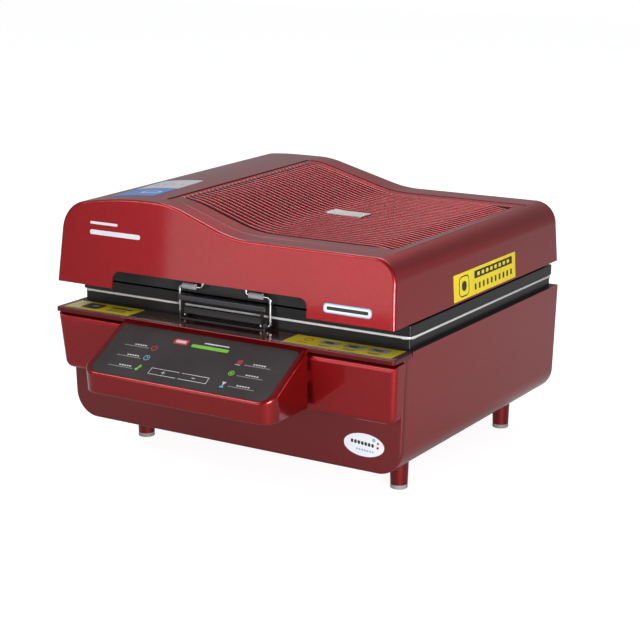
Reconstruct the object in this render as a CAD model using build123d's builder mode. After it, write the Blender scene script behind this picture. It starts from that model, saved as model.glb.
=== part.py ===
"""Table-top vacuum sublimation press, in millimetres.

X runs across the machine, +Y to the rear and +Z up. The origin is on the
table, under the middle of the whole machine's outline.
"""
import os
from math import cos, radians, sin, tan

from build123d import *

os.makedirs("parts", exist_ok=True)

# ---------------------------------------------------------------- driving sizes
lid_width = 550.0
lid_depth = 502.0
console_reach = 97.5          # console front, ahead of the lid's front edge
hinge_setback = 9.0           # hinge line, behind the lid's rear edge
knuckle_radius = 8.0

pad_height = 6.0
foot_height = 44.0
base_height = 167.4
lower_frame_height = 14.1
membrane_rim = 3.0            # thick edge of the silicone sheet
upper_frame_height = 14.5
lid_gap = 5.6                 # upper frame to the lid's bottom edge
crest_height = 125.6          # lid's high left side, above its bottom edge
flat_height = 88.8            # lid's low right side

fit_gap = 0.3                 # between pieces that sit together
hinge_lift = 0.7              # hinge line, above the upper frame
shaft_clearance = 0.05        # radial, between a pin and its hole

# ------------------------------------------------------- places that follow from them
overall_depth = console_reach + lid_depth + hinge_setback + knuckle_radius
front_y = console_reach - overall_depth / 2
rear_y = front_y + lid_depth
hinge_y = rear_y + hinge_setback
shell_bottom_z = pad_height + foot_height
rim_z = shell_bottom_z + base_height
lower_frame_top_z = rim_z + lower_frame_height
membrane_z = lower_frame_top_z + fit_gap
upper_frame_z = membrane_z + membrane_rim
upper_frame_top_z = upper_frame_z + upper_frame_height
lid_z = upper_frame_top_z + lid_gap
hinge_z = upper_frame_top_z + hinge_lift


def export(piece, name):
    """Label a finished piece and write it under its own name."""
    piece.label = name
    export_step(piece, f"parts/{name}.step")


def ring_sketch(half_x, y_front, y_back, bar, corner):
    """A rectangular ring on the current plane, bar wide, with rounded outer corners."""
    centre = (0, (y_front + y_back) / 2)
    length = y_back - y_front
    with Locations(centre):
        RectangleRounded(2 * half_x, length, corner)
        Rectangle(2 * (half_x - bar), length - 2 * bar, mode=Mode.SUBTRACT)


# ================================================================ base shell
base_overlap = 1.0            # base's rim, wider than the lid each side
base_half_width = lid_width / 2 + base_overlap
base_draft = 2.0              # degrees, each side, narrowing downwards
base_corner = 37.0            # rounded bottom corners
sheet = 1.5                   # painted steel sheet
apron_setback = 28.0          # apron face, behind the lid's front edge
apron_depth = 8.0             # turned-back rim of the apron
apron_edge = 4.0
shell_flange = 14.0
flange_start = 48.0           # wall flanges begin behind the deck
floor_slot_pitch = 26.0
floor_slot_count = 7
floor_slot_length = 60.0
floor_slot_width = 4.0
floor_slots_ahead = 150.0     # of the rear panel
ring_thickness = 3.0

apron_y = front_y + apron_setback
base_foot_half_width = base_half_width - base_height * tan(radians(base_draft))


def tub_outline(inset, top):
    """The base's front outline: drafted sides and rounded bottom corners."""
    side_top = base_half_width - inset - (rim_z - top) * tan(radians(base_draft))
    bottom = base_foot_half_width - inset
    low = shell_bottom_z + inset
    with BuildLine() as outline:
        walls = FilletPolyline(
            (-side_top, top), (-bottom, low), (bottom, low), (side_top, top),
            radius=base_corner - inset,
        )
        Line(walls @ 1, walls @ 0)
    make_face(outline.edges())


deck_thickness = 6.5
deck_reach = 3.0              # deck edge, ahead of the lid's front edge
deck_back = 47.0
deck_overhang = 0.8           # wider than the base each side
deck_half_width = base_half_width + deck_overhang
deck_wall = 2.0
deck_corner = 5.0
deck_edge = 1.6
deck_bottom_z = rim_z - deck_thickness
deck_front_y = front_y - deck_reach
deck_back_y = front_y + deck_back

ring_bottom_z = rim_z - ring_thickness
shell_front_y = apron_y + apron_depth
shell_back_y = rear_y - sheet
flange_y = front_y + flange_start

with BuildPart() as base_shell:
    with BuildSketch(Plane.XZ.offset(-shell_front_y)):
        tub_outline(0, rim_z)
    extrude(amount=-(shell_back_y - shell_front_y))
    with BuildSketch(Plane.XZ.offset(-shell_front_y)):
        tub_outline(sheet, rim_z + 1)
    extrude(amount=-(shell_back_y - shell_front_y), mode=Mode.SUBTRACT)
    with BuildSketch(Plane.XY.offset(ring_bottom_z - sheet)):
        for side in (-1, 1):
            with Locations((side * (base_half_width - shell_flange / 2 - sheet / 2),
                            (flange_y + shell_back_y) / 2)):
                Rectangle(shell_flange, shell_back_y - flange_y)
    extrude(amount=sheet)
    # air slots in the floor
    with BuildSketch(Plane.XY.offset(shell_bottom_z - 1)):
        with Locations((0, rear_y - floor_slots_ahead)):
            with GridLocations(floor_slot_pitch, 0, floor_slot_count, 1):
                SlotOverall(floor_slot_length, floor_slot_width, rotation=90)
    extrude(amount=sheet + 2, mode=Mode.SUBTRACT)
    # the walls stop below the deck at the front
    with BuildSketch(Plane.XY.offset(deck_bottom_z - fit_gap)):
        with Locations((0, (shell_front_y + deck_back_y + fit_gap) / 2 - 1)):
            Rectangle(2 * base_half_width + 10, deck_back_y + fit_gap - shell_front_y + 2)
    extrude(amount=deck_thickness + 5, mode=Mode.SUBTRACT)
export(base_shell.part, "base_shell")

with BuildPart() as front_apron:
    with BuildSketch(Plane.XZ.offset(-apron_y)):
        tub_outline(0, deck_bottom_z - fit_gap)
    extrude(amount=-apron_depth)
    fillet(front_apron.faces().sort_by(Axis.Y)[0].edges().sort_by(Axis.Z)[:-1], apron_edge)
    with BuildSketch(Plane.XZ.offset(-(apron_y + sheet))):
        tub_outline(sheet, deck_bottom_z)
    extrude(amount=-apron_depth, mode=Mode.SUBTRACT)
export(front_apron.part, "front_apron")

# ================================================================ deck over the front
with BuildPart() as deck_plate:
    with BuildSketch(Plane.XY.offset(deck_bottom_z)):
        with Locations((0, (deck_front_y + deck_back_y) / 2)):
            RectangleRounded(2 * deck_half_width, deck_back_y - deck_front_y, deck_corner)
    extrude(amount=deck_thickness)
    fillet(deck_plate.faces().sort_by(Axis.Z)[-1].edges(), deck_edge)
    with BuildSketch(Plane.XY.offset(deck_bottom_z)):
        with Locations((0, (deck_front_y + deck_back_y) / 2)):
            Rectangle(2 * (deck_half_width - deck_wall), deck_back_y - deck_front_y - 2 * deck_wall)
    extrude(amount=deck_thickness - deck_wall, mode=Mode.SUBTRACT)
export(deck_plate.part, "deck_plate")

# ================================================================ front bezel
bezel_overhang = 1.5          # wider than the base each side
bezel_half_width = base_half_width + bezel_overhang
bezel_draft = 4.0             # degrees, each side
bezel_lean = 4.2              # degrees, front face leaning back downwards
bezel_drop = 84.4             # bezel's bottom edge, below the deck
bezel_wall = 2.5
bezel_face = 9.5              # thickness behind the leaning face, at its top
bezel_edge = 8.0
bezel_seam = 1.2              # groove where it meets the apron's rim
bezel_corner = 12.0
bezel_top_gap = 3.0
bezel_top_z = deck_bottom_z - bezel_top_gap
bezel_bottom_z = deck_bottom_z - bezel_drop
bezel_height = bezel_top_z - bezel_bottom_z


def bezel_outline(inset, mode=Mode.ADD):
    """The bezel's front outline, square at the top and rounded below."""
    top = bezel_half_width - inset
    low = top - bezel_height * tan(radians(bezel_draft))
    with BuildLine() as outline:
        edge = FilletPolyline(
            (-top, bezel_top_z - inset), (-low, bezel_bottom_z + inset),
            (low, bezel_bottom_z + inset), (top, bezel_top_z - inset),
            radius=bezel_corner - inset,
        )
        Line(edge @ 1, edge @ 0)
    make_face(outline.edges(), mode=mode)


cable_slot_width = 90.0
cable_slot_height = 30.0
cable_slot_corner = 6.0
with BuildPart() as front_bezel:
    with BuildSketch(Plane.XZ.offset(-front_y)):
        bezel_outline(0)
    extrude(amount=-(apron_y - front_y))
    lean_plane = Plane(
        origin=(0, front_y, bezel_top_z), x_dir=(1, 0, 0),
        z_dir=(0, -cos(radians(bezel_lean)), -sin(radians(bezel_lean))),
    )
    split(bisect_by=lean_plane, keep=Keep.BOTTOM)
    fillet(front_bezel.faces().sort_by(Axis.Y)[0].edges(), bezel_edge)
    with BuildSketch(Plane.XZ.offset(-(front_y + bezel_face))):
        bezel_outline(bezel_wall)
    extrude(amount=-(apron_y - front_y), mode=Mode.SUBTRACT)
    with BuildSketch(Plane.XZ.offset(-(apron_y - bezel_seam))):
        Rectangle(3 * bezel_half_width, 4 * bezel_top_z)
        bezel_outline(bezel_seam, Mode.SUBTRACT)
    extrude(amount=-bezel_seam - 1, mode=Mode.SUBTRACT)
    with BuildSketch(Plane.XZ.offset(-(front_y - 1))):
        with Locations((0, (bezel_top_z + bezel_bottom_z) / 2)):
            RectangleRounded(cable_slot_width, cable_slot_height, cable_slot_corner)
    extrude(amount=-40, mode=Mode.SUBTRACT)
export(front_bezel.part, "front_bezel")

# ================================================================ control console
console_shift = -3.0          # console's middle, beside the machine's
console_half_width = 152.8    # at the underside
console_front_half = 155.0    # plan, at the front
console_back_half = 151.0     # plan, at the deck
console_draft = 3.4           # degrees, widening upwards
console_bottom_drop = 76.9    # underside, below the deck
console_nose_drop = 47.9      # where the slope meets the front face
console_tilt = 29.3           # degrees, the panel's slope
console_corner = 22.0
console_wall = 2.6
console_back_y = front_y - deck_reach - fit_gap
console_front_y = front_y - console_reach
panel_x = -1.0
panel_half_width = 143.0
panel_length = 96.0
panel_front_corner = 14.0
panel_back_corner = 7.0
panel_thickness = 2.0
panel_border = 3.6            # panel's front edge, up the slope from the nose
panel_lip = 5.0               # ledge that carries the panel
console_rise = 110.0
nose_round = 5.0
console_edge = 2.0            # rounded bottom edge
console_overrun = 40.0        # block's length behind the deck's edge, before it is cut
tab_width = 13.0              # tabs that reach back to the bezel's face
tab_bottom_drop = 42.9        # tab's edges, below the deck
tab_top_drop = 26.9
tab_root = 30.0
console_bottom_z = deck_bottom_z - console_bottom_drop
console_nose_z = deck_bottom_z - console_nose_drop
console_lead = (console_nose_z - console_bottom_z) * tan(radians(console_draft))
tab_bottom_z = deck_bottom_z - tab_bottom_drop
tab_top_z = deck_bottom_z - tab_top_drop


def console_block(inset):
    """The console's outer form, inset by a wall on every side but the back."""
    depth = console_back_y - console_front_y + console_overrun
    slope_y = console_front_y + inset * 0.6
    with BuildPart() as block:
        with BuildSketch(Plane.XY.offset(console_bottom_z + inset)):
            with Locations((console_shift, console_front_y + console_lead + inset + depth / 2)):
                RectangleRounded(2 * (console_half_width - inset), depth, console_corner - inset)
        extrude(amount=console_rise, taper=-console_draft)
        with BuildSketch(Plane.XY.offset(console_bottom_z)):
            with Locations((console_shift, 0)):
                Polygon(
                    (-console_front_half + inset, console_front_y),
                    (console_front_half - inset, console_front_y),
                    (console_back_half - inset, console_back_y), (-console_back_half + inset, console_back_y),
                    align=None,
                )
        extrude(amount=console_rise, mode=Mode.INTERSECT)
        with BuildSketch(Plane.YZ):
            slope = tan(radians(console_tilt))
            run = console_back_y - slope_y
            nose = console_nose_z - inset
            with BuildLine():
                Polyline(
                    (slope_y - 20, console_bottom_z - 5), (slope_y - 20, nose - 20 * slope),
                    (console_back_y, nose + run * slope), (console_back_y, console_bottom_z - 5),
                    close=True,
                )
            make_face()
        extrude(amount=console_half_width * 1.2, both=True, mode=Mode.INTERSECT)
    return block.part


tilt = radians(console_tilt)
panel_centre_run = panel_border + panel_length / 2
panel_face = Plane(
    origin=(panel_x, console_front_y + panel_centre_run * cos(tilt),
            console_nose_z + panel_centre_run * sin(tilt)),
    x_dir=(1, 0, 0), z_dir=(0, -sin(tilt), cos(tilt)),
)


def panel_outline(grow):
    """The panel's outline on its slope, larger or smaller all round by grow."""
    half = panel_half_width + grow
    run = panel_length / 2 + grow
    front = panel_front_corner + grow
    back = panel_back_corner + grow
    with BuildLine() as outline:
        FilletPolyline((-half, -run), (half, -run), (half, run), (-half, run),
                       radius=[front, front, back, back], close=True)
    make_face(outline.edges())


console_outer = console_block(0)
console_inner = console_block(console_wall)
with BuildPart() as console_housing:
    add(console_outer)
    nose_edges = console_housing.faces().sort_by(Axis.Z)[-1].edges()
    fillet(nose_edges.sort_by(Axis.Y)[0:-1], nose_round)
    fillet(console_housing.faces().sort_by(Axis.Z)[0].edges().sort_by(Axis.Y)[:-1], console_edge)
    add(console_inner, mode=Mode.SUBTRACT)
    with BuildSketch(panel_face.offset(-panel_thickness)):
        panel_outline(fit_gap)
    extrude(amount=10, mode=Mode.SUBTRACT)
    with BuildSketch(panel_face.offset(-20)):
        panel_outline(-panel_lip)
    extrude(amount=30, mode=Mode.SUBTRACT)
    tab_back_y = front_y + (bezel_top_z - tab_top_z) * tan(radians(bezel_lean)) - fit_gap
    with BuildSketch(Plane.XY.offset(tab_bottom_z)):
        for side in (-1, 1):
            tab_x = console_back_half - console_wall / 2 - tab_width / 2
            with Locations((console_shift + side * tab_x,
                            (console_back_y - tab_root + tab_back_y) / 2)):
                Rectangle(tab_width, tab_back_y - console_back_y + tab_root)
    extrude(amount=tab_top_z - tab_bottom_z)
export(console_housing.part, "console_housing")

with BuildPart() as control_panel:
    with BuildSketch(panel_face.offset(-panel_thickness)):
        panel_outline(0)
    extrude(amount=panel_thickness)
export(control_panel.part, "control_panel")

board_thickness = 1.6
board_margin = 8.5
chip_size = (16.0, 10.0, 3.0)
chip_pitch = (90.0, 28.0)
with BuildPart() as control_board:
    with BuildSketch(panel_face.offset(-panel_thickness - fit_gap - board_thickness)):
        Rectangle(2 * (panel_half_width - board_margin), panel_length - 2 * board_margin)
    extrude(amount=board_thickness)
    # button sensors and the main chip on the underside
    with BuildSketch(panel_face.offset(-panel_thickness - fit_gap - board_thickness)):
        with GridLocations(*chip_pitch, 3, 2):
            Rectangle(chip_size[0], chip_size[1])
    extrude(amount=-chip_size[2])
export(control_board.part, "control_board")

# ================================================================ feet
foot_inset = 53.4             # foot centres, inside the base's bottom edges
foot_front_setback = 121.9
foot_rear_ahead = 62.5
foot_x = base_foot_half_width - foot_inset
foot_front_y = front_y + foot_front_setback
foot_rear_y = rear_y - foot_rear_ahead
foot_top_radius = 13.5
foot_tip_radius = 12.0
pad_edge = 1.0
foot_places = {
    "front_left": (-foot_x, foot_front_y),
    "front_right": (foot_x, foot_front_y),
    "rear_left": (-foot_x, foot_rear_y),
    "rear_right": (foot_x, foot_rear_y),
}
for corner_name, (x, y) in foot_places.items():
    with BuildPart() as foot:
        with BuildSketch(Plane.XY.offset(shell_bottom_z)):
            with Locations((x, y)):
                Circle(foot_top_radius)
        with BuildSketch(Plane.XY.offset(pad_height)):
            with Locations((x, y)):
                Circle(foot_tip_radius)
        loft()
    export(foot.part, f"foot_{corner_name}")
    with BuildPart() as pad:
        with BuildSketch():
            with Locations((x, y)):
                Circle(foot_tip_radius)
        extrude(amount=pad_height)
        fillet(pad.edges().sort_by(Axis.Z)[0], pad_edge)
    export(pad.part, f"foot_pad_{corner_name}")

# ================================================================ frames and work tray
frame_margin = 5.0            # frames, inside the lid's sides
frame_setback = 52.0          # behind the lid's front edge
frame_rear_ahead = 10.0       # ahead of the lid's rear edge
frame_half_width = lid_width / 2 - frame_margin
frame_front_y = front_y + frame_setback
frame_back_y = rear_y - frame_rear_ahead
frame_bar = 34.0
lower_frame_inset = 2.0       # lower frame's outside, inside the upper one's
frame_corner = 3.0
frame_mid_y = (frame_front_y + frame_back_y) / 2
well_half_width = frame_half_width - frame_bar
well_front_y = frame_front_y + frame_bar
well_back_y = frame_back_y - frame_bar
ring_seat = 6.0               # how far the ring reaches inside the frames, to carry the pan
pan_rim = 1.5
gasket_width = 6.0
gasket_depth = 3.0
gasket_inset = 14.0
gasket_fit = 0.1

with BuildPart() as chassis_ring:
    ring_front_y = deck_back_y + fit_gap
    ring_back_y = shell_back_y - fit_gap
    with BuildSketch(Plane.XY.offset(ring_bottom_z)):
        with Locations((0, (ring_front_y + ring_back_y) / 2)):
            Rectangle(2 * (base_half_width - sheet - fit_gap), ring_back_y - ring_front_y)
        with Locations((0, frame_mid_y)):
            Rectangle(2 * (well_half_width - ring_seat), well_back_y - well_front_y - 2 * ring_seat,
                      mode=Mode.SUBTRACT)
    extrude(amount=ring_thickness)
export(chassis_ring.part, "chassis_ring")

with BuildPart() as lower_frame:
    with BuildSketch(Plane.XY.offset(rim_z)):
        ring_sketch(frame_half_width - lower_frame_inset, frame_front_y + lower_frame_inset,
                    frame_back_y - lower_frame_inset, frame_bar - lower_frame_inset, frame_corner)
    extrude(amount=lower_frame_height)
    with BuildSketch(Plane.XY.offset(lower_frame_top_z - gasket_depth)):
        ring_sketch(frame_half_width - gasket_inset, frame_front_y + gasket_inset,
                    frame_back_y - gasket_inset, gasket_width, frame_corner)
    extrude(amount=gasket_depth, mode=Mode.SUBTRACT)
export(lower_frame.part, "lower_frame")

with BuildPart() as frame_gasket:
    with BuildSketch(Plane.XY.offset(lower_frame_top_z - gasket_depth)):
        ring_sketch(frame_half_width - gasket_inset - gasket_fit,
                    frame_front_y + gasket_inset + gasket_fit,
                    frame_back_y - gasket_inset - gasket_fit,
                    gasket_width - 2 * gasket_fit, frame_corner)
    extrude(amount=gasket_depth)
export(frame_gasket.part, "frame_gasket")

pan_depth = 60.0
pan_clear = 0.5
pan_half_width = well_half_width - ring_seat - pan_clear
pan_front_y = well_front_y + ring_seat + pan_clear
pan_back_y = well_back_y - ring_seat - pan_clear
pan_length = pan_back_y - pan_front_y
pan_corner = 18.0
pan_floor_z = rim_z - pan_depth
port_radius = 5.0
port_bore = 3.0
port_drop = 18.0
port_inset = 156.0            # port, inside the base's left side
port_x = port_inset - base_half_width
with BuildPart() as vacuum_pan:
    with BuildSketch(Plane.XY.offset(pan_floor_z)):
        with Locations((0, frame_mid_y)):
            RectangleRounded(2 * pan_half_width, pan_length, pan_corner)
    extrude(amount=pan_depth)
    with BuildSketch(Plane.XY.offset(rim_z)):
        with Locations((0, frame_mid_y)):
            Rectangle(2 * (well_half_width - fit_gap), well_back_y - well_front_y - 2 * fit_gap)
    extrude(amount=pan_rim)
    with BuildSketch(Plane.XY.offset(pan_floor_z + sheet)):
        with Locations((0, frame_mid_y)):
            RectangleRounded(2 * (pan_half_width - sheet), pan_length - 2 * sheet, pan_corner - sheet)
    extrude(amount=pan_depth + pan_rim, mode=Mode.SUBTRACT)
    with BuildSketch(Plane.XY.offset(pan_floor_z)):
        with Locations((port_x, frame_mid_y)):
            Circle(port_radius)
    extrude(amount=-port_drop)
    with BuildSketch(Plane.XY.offset(pan_floor_z - port_drop)):
        with Locations((port_x, frame_mid_y)):
            Circle(port_bore)
    extrude(amount=port_drop + sheet, mode=Mode.SUBTRACT)
export(vacuum_pan.part, "vacuum_pan")

tray_skirt = 9.0
tray_thickness = 2.0
tray_gap = 2.0
tray_hole = 2.2
tray_pitch = 30.0
tray_margin = 12.0
tray_half_width = pan_half_width - sheet - tray_gap
tray_length = pan_length - 2 * (sheet + tray_gap)
tray_top_z = pan_floor_z + sheet + tray_skirt
with BuildPart() as vacuum_tray:
    with BuildSketch(Plane.XY.offset(pan_floor_z + sheet)):
        with Locations((0, frame_mid_y)):
            RectangleRounded(2 * tray_half_width, tray_length, pan_corner - sheet - tray_gap)
    extrude(amount=tray_skirt)
    with BuildSketch(Plane.XY.offset(pan_floor_z + sheet)):
        with Locations((0, frame_mid_y)):
            RectangleRounded(2 * (tray_half_width - tray_thickness), tray_length - 2 * tray_thickness,
                             pan_corner - sheet - tray_gap - tray_thickness)
    extrude(amount=tray_skirt - tray_thickness, mode=Mode.SUBTRACT)
    holes_across = int(2 * (tray_half_width - tray_margin) / tray_pitch)
    holes_along = int((tray_length - 2 * tray_margin) / tray_pitch)
    with BuildSketch(Plane.XY.offset(tray_top_z - tray_thickness - 1)):
        with Locations((0, frame_mid_y)):
            with GridLocations(tray_pitch, tray_pitch, holes_across, holes_along):
                Circle(tray_hole)
    extrude(amount=tray_thickness + 2, mode=Mode.SUBTRACT)
export(vacuum_tray.part, "vacuum_tray")

# ---- the frame that carries the silicone sheet
membrane_sheet = 1.2
membrane_tuck = 1.0           # sheet's edge, inside its rim
screw_radius = 2.0
screw_head_radius = 4.0
screw_head_height = 2.4
screw_length = 11.0
hex_radius = 1.6
hex_depth = 1.5
screw_columns = 5
screw_pitch_x = (2 * frame_half_width - frame_bar) / (screw_columns - 1)
screw_rows_y = (frame_front_y + frame_bar / 2, frame_back_y - frame_bar / 2)
side_screw_pitch = 140.0
screw_places = [
    (-frame_half_width + frame_bar / 2 + i * screw_pitch_x, y)
    for i in range(screw_columns) for y in screw_rows_y
] + [
    (side * (frame_half_width - frame_bar / 2), frame_mid_y + row * side_screw_pitch)
    for side in (-1, 1) for row in (-0.5, 0.5)
]

with BuildPart() as upper_frame:
    with BuildSketch(Plane.XY.offset(upper_frame_z)):
        ring_sketch(frame_half_width, frame_front_y, frame_back_y, frame_bar, frame_corner)
    extrude(amount=upper_frame_height)
    with Locations(*[(x, y, upper_frame_top_z) for x, y in screw_places]):
        CounterBoreHole(screw_radius + 0.1, screw_head_radius + fit_gap, screw_head_height + fit_gap,
                        screw_length + 1)
export(upper_frame.part, "upper_frame")

with BuildPart() as frame_screws:
    head_z = upper_frame_top_z - screw_head_height - fit_gap
    with BuildSketch(Plane.XY.offset(head_z)):
        with Locations(*screw_places):
            Circle(screw_head_radius)
    extrude(amount=screw_head_height)
    with BuildSketch(Plane.XY.offset(head_z)):
        with Locations(*screw_places):
            Circle(screw_radius)
    extrude(amount=-(screw_length - screw_head_height))
    with BuildSketch(Plane.XY.offset(head_z + screw_head_height)):
        with Locations(*screw_places):
            RegularPolygon(hex_radius, 6)
    extrude(amount=-hex_depth, mode=Mode.SUBTRACT)
export(frame_screws.part, "frame_screws")

with BuildPart() as silicone_membrane:
    with BuildSketch(Plane.XY.offset(membrane_z)):
        ring_sketch(frame_half_width, frame_front_y, frame_back_y, frame_bar, frame_corner)
    extrude(amount=membrane_rim)
    with BuildSketch(Plane.XY.offset(upper_frame_z - membrane_sheet)):
        with Locations((0, frame_mid_y)):
            Rectangle(2 * (frame_half_width - membrane_tuck),
                      frame_back_y - frame_front_y - 2 * membrane_tuck)
    extrude(amount=membrane_sheet)
export(silicone_membrane.part, "silicone_membrane")

clamp_width = 12.0
clamp_thickness = 3.0
clamp_edge = 1.2
clamp_corner = 2.0
with BuildPart() as membrane_clamp:
    with BuildSketch(Plane.XY.offset(upper_frame_z)):
        ring_sketch(well_half_width - fit_gap, well_front_y + fit_gap, well_back_y - fit_gap,
                    clamp_width, clamp_corner)
    extrude(amount=clamp_thickness)
    fillet(membrane_clamp.faces().sort_by(Axis.Z)[-1].inner_wires()[0].edges(), clamp_edge)
export(membrane_clamp.part, "membrane_clamp")

# ================================================================ hinges at the rear
hinge_inset = 105.0           # hinge centres, inside the lid's sides
hinge_x = lid_width / 2 - hinge_inset
pin_radius = 4.0
ear_width = 8.0
lid_knuckle_width = 26.0
frame_knuckle_width = 16.0
hinge_gap = 0.4
bracket_thickness = 3.0
bracket_drop = 62.0
bracket_rise = 6.0            # above the base's rim
bracket_corner = 3.0
ear_drop = 30.0               # ears begin below the rim
pin_head = 1.6                # wider than the pin all round
pin_head_depth = 1.5
frame_arm_height = 11.0
arm_nose = 3.0                # arm's corners, ahead of the hinge line
arm_rake = 2.0                # arm's underside, rising to the knuckle
ear_shoulder = 0.2
leaf_touch = (0.6, 0.8)       # where the leaf's back meets the knuckle, in its radii
leaf_height = 44.0
leaf_thickness = 3.0
leaf_foot = 1.0               # leaf's bottom, above the lid's bottom edge
lid_rear_lean = 3.0           # degrees, forwards going up
hinge_width = 2 * ear_width + lid_knuckle_width + frame_knuckle_width + 3 * hinge_gap


def knuckle_starts(side):
    """Left edges of ear, frame knuckle, lid knuckle and second ear, one hinge."""
    left = side * hinge_x - hinge_width / 2
    frame_left = left + ear_width + hinge_gap
    lid_left = frame_left + frame_knuckle_width + hinge_gap
    return left, frame_left, lid_left, lid_left + lid_knuckle_width + hinge_gap


def pin_hole(x_start, width):
    """Drill the pin's running hole along X."""
    with BuildSketch(Plane.YZ.offset(x_start - 1)) as hole:
        with Locations((hinge_y, hinge_z)):
            Circle(pin_radius + shaft_clearance)
    extrude(hole.sketch, amount=width + 2, mode=Mode.SUBTRACT)


for side_name, side in (("left", -1), ("right", 1)):
    first_ear, frame_left, lid_left, second_ear = knuckle_starts(side)
    with BuildPart() as hinge_bracket:
        with BuildSketch(Plane.XZ.offset(-rear_y)):
            with Locations((side * hinge_x, rim_z + bracket_rise - bracket_drop / 2)):
                RectangleRounded(hinge_width, bracket_drop, bracket_corner)
        extrude(amount=-bracket_thickness)
        for ear_x in (first_ear, second_ear):
            with BuildSketch(Plane.YZ.offset(ear_x)):
                with BuildLine():
                    Polyline(
                        (rear_y, rim_z - ear_drop), (rear_y, rim_z + bracket_rise),
                        (hinge_y - knuckle_radius + ear_shoulder, hinge_z),
                        (hinge_y + knuckle_radius, hinge_z),
                        (rear_y + bracket_thickness, rim_z - ear_drop), close=True,
                    )
                make_face()
                with Locations((hinge_y, hinge_z)):
                    Circle(knuckle_radius)
            extrude(amount=ear_width)
        pin_hole(first_ear, hinge_width)
    export(hinge_bracket.part, f"hinge_bracket_{side_name}")

with BuildPart() as hinge_pins:
    for side in (-1, 1):
        first_ear = knuckle_starts(side)[0]
        with BuildSketch(Plane.YZ.offset(first_ear - pin_head_depth)):
            with Locations((hinge_y, hinge_z)):
                Circle(pin_radius)
        extrude(amount=hinge_width + 2 * pin_head_depth)
        # peened heads
        for head_x in (first_ear - pin_head_depth - shaft_clearance,
                       first_ear + hinge_width + shaft_clearance):
            with BuildSketch(Plane.YZ.offset(head_x)):
                with Locations((hinge_y, hinge_z)):
                    Circle(pin_radius + pin_head)
            extrude(amount=pin_head_depth)
export(hinge_pins.part, "hinge_pins")

with BuildPart() as lid_hinge_arms:
    for side in (-1, 1):
        lid_left = knuckle_starts(side)[2]
        with BuildSketch(Plane.YZ.offset(lid_left)):
            lean = leaf_height * tan(radians(lid_rear_lean))
            foot_z = lid_z + leaf_foot
            foot_lean = leaf_foot * tan(radians(lid_rear_lean))
            with BuildLine():
                Polyline(
                    (rear_y + fit_gap - foot_lean, foot_z), (rear_y + fit_gap - lean, lid_z + leaf_height),
                    (rear_y + fit_gap + leaf_thickness - lean, lid_z + leaf_height),
                    (hinge_y + knuckle_radius * leaf_touch[0], hinge_z + knuckle_radius * leaf_touch[1]),
                    (hinge_y, hinge_z), close=True,
                )
            make_face()
            with Locations((hinge_y, hinge_z)):
                Circle(knuckle_radius)
        extrude(amount=lid_knuckle_width)
        pin_hole(lid_left, lid_knuckle_width)
export(lid_hinge_arms.part, "lid_hinge_arms")

with BuildPart() as frame_hinge_arms:
    for side in (-1, 1):
        frame_left = knuckle_starts(side)[1]
        arm_top = upper_frame_top_z - fit_gap
        with BuildSketch(Plane.YZ.offset(frame_left)):
            with BuildLine():
                Polyline(
                    (frame_back_y, arm_top), (frame_back_y, arm_top - frame_arm_height),
                    (hinge_y - arm_nose, arm_top - frame_arm_height + arm_rake), (hinge_y, hinge_z),
                    (hinge_y - arm_nose, arm_top), close=True,
                )
            make_face()
            with Locations((hinge_y, hinge_z)):
                Circle(knuckle_radius)
        extrude(amount=frame_knuckle_width)
        pin_hole(frame_left, frame_knuckle_width)
export(frame_hinge_arms.part, "frame_hinge_arms")

# ================================================================ lid
lid_wall = 2.0
lid_front_lean = 6.5          # degrees, backwards going up
lid_side_lean = 3.06          # right side
lid_left_lean = 3.6
lid_edge = 4.5                # rounded edge round the front and rear faces
# corners of the front and rear outlines before rounding, inside the lid's left side
crest_start_inset = (110.0, 70.0)
crest_end_inset = (188.6, 153.5)
slope_foot_inset = (295.3, 291.2)
shoulder_drop = (15.4, 5.0)   # left shoulder corner, below the crest
corner_share = 0.5            # how far an inner outline's slope corners move, by its inset
lid_radii = (43.0, 550.0, 150.0, 185.0, 32.0)


def lid_outline(end, inset):
    """The lid seen from the front (end 0) or the rear (end 1), inset by a wall."""
    half = lid_width / 2 - inset
    left_top = crest_height - inset - shoulder_drop[end]
    flat = flat_height - inset
    crest = crest_height - inset
    slope_shift = lid_width / 2 + inset * corner_share
    with BuildLine() as outline:
        skin = FilletPolyline(
            (-half, 0),
            (-half + left_top * tan(radians(lid_left_lean)), left_top),
            (crest_start_inset[end] - lid_width / 2, crest),
            (crest_end_inset[end] - slope_shift, crest),
            (slope_foot_inset[end] - slope_shift, flat),
            (half - flat * tan(radians(lid_side_lean)), flat),
            (half, 0),
            radius=[lid_radii[0] - inset, lid_radii[1], lid_radii[2] - inset, lid_radii[3],
                    lid_radii[4] - inset],
        )
        Line(skin @ 1, skin @ 0)
    make_face(outline.edges())


def lid_block(inset):
    """The lid's solid form, inset by a wall."""
    with BuildPart() as block:
        with BuildSketch(Plane((0, front_y + inset, lid_z), x_dir=(1, 0, 0), z_dir=(0, -1, 0))):
            lid_outline(0, inset)
        with BuildSketch(Plane((0, rear_y - inset, lid_z), x_dir=(1, 0, 0), z_dir=(0, -1, 0))):
            lid_outline(1, inset)
        loft(ruled=True)
        front_tilt = radians(lid_front_lean)
        rear_tilt = radians(lid_rear_lean)
        split(bisect_by=Plane((0, front_y + inset, lid_z), x_dir=(1, 0, 0),
                              z_dir=(0, -cos(front_tilt), sin(front_tilt))), keep=Keep.BOTTOM)
        split(bisect_by=Plane((0, rear_y - inset, lid_z), x_dir=(1, 0, 0),
                              z_dir=(0, cos(rear_tilt), sin(rear_tilt))), keep=Keep.BOTTOM)
        for face in (block.faces().sort_by(Axis.Y)[0], block.faces().sort_by(Axis.Y)[-1]):
            fillet(face.edges().sort_by(Axis.Z)[1:], lid_edge - inset)
    return block.part


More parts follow.
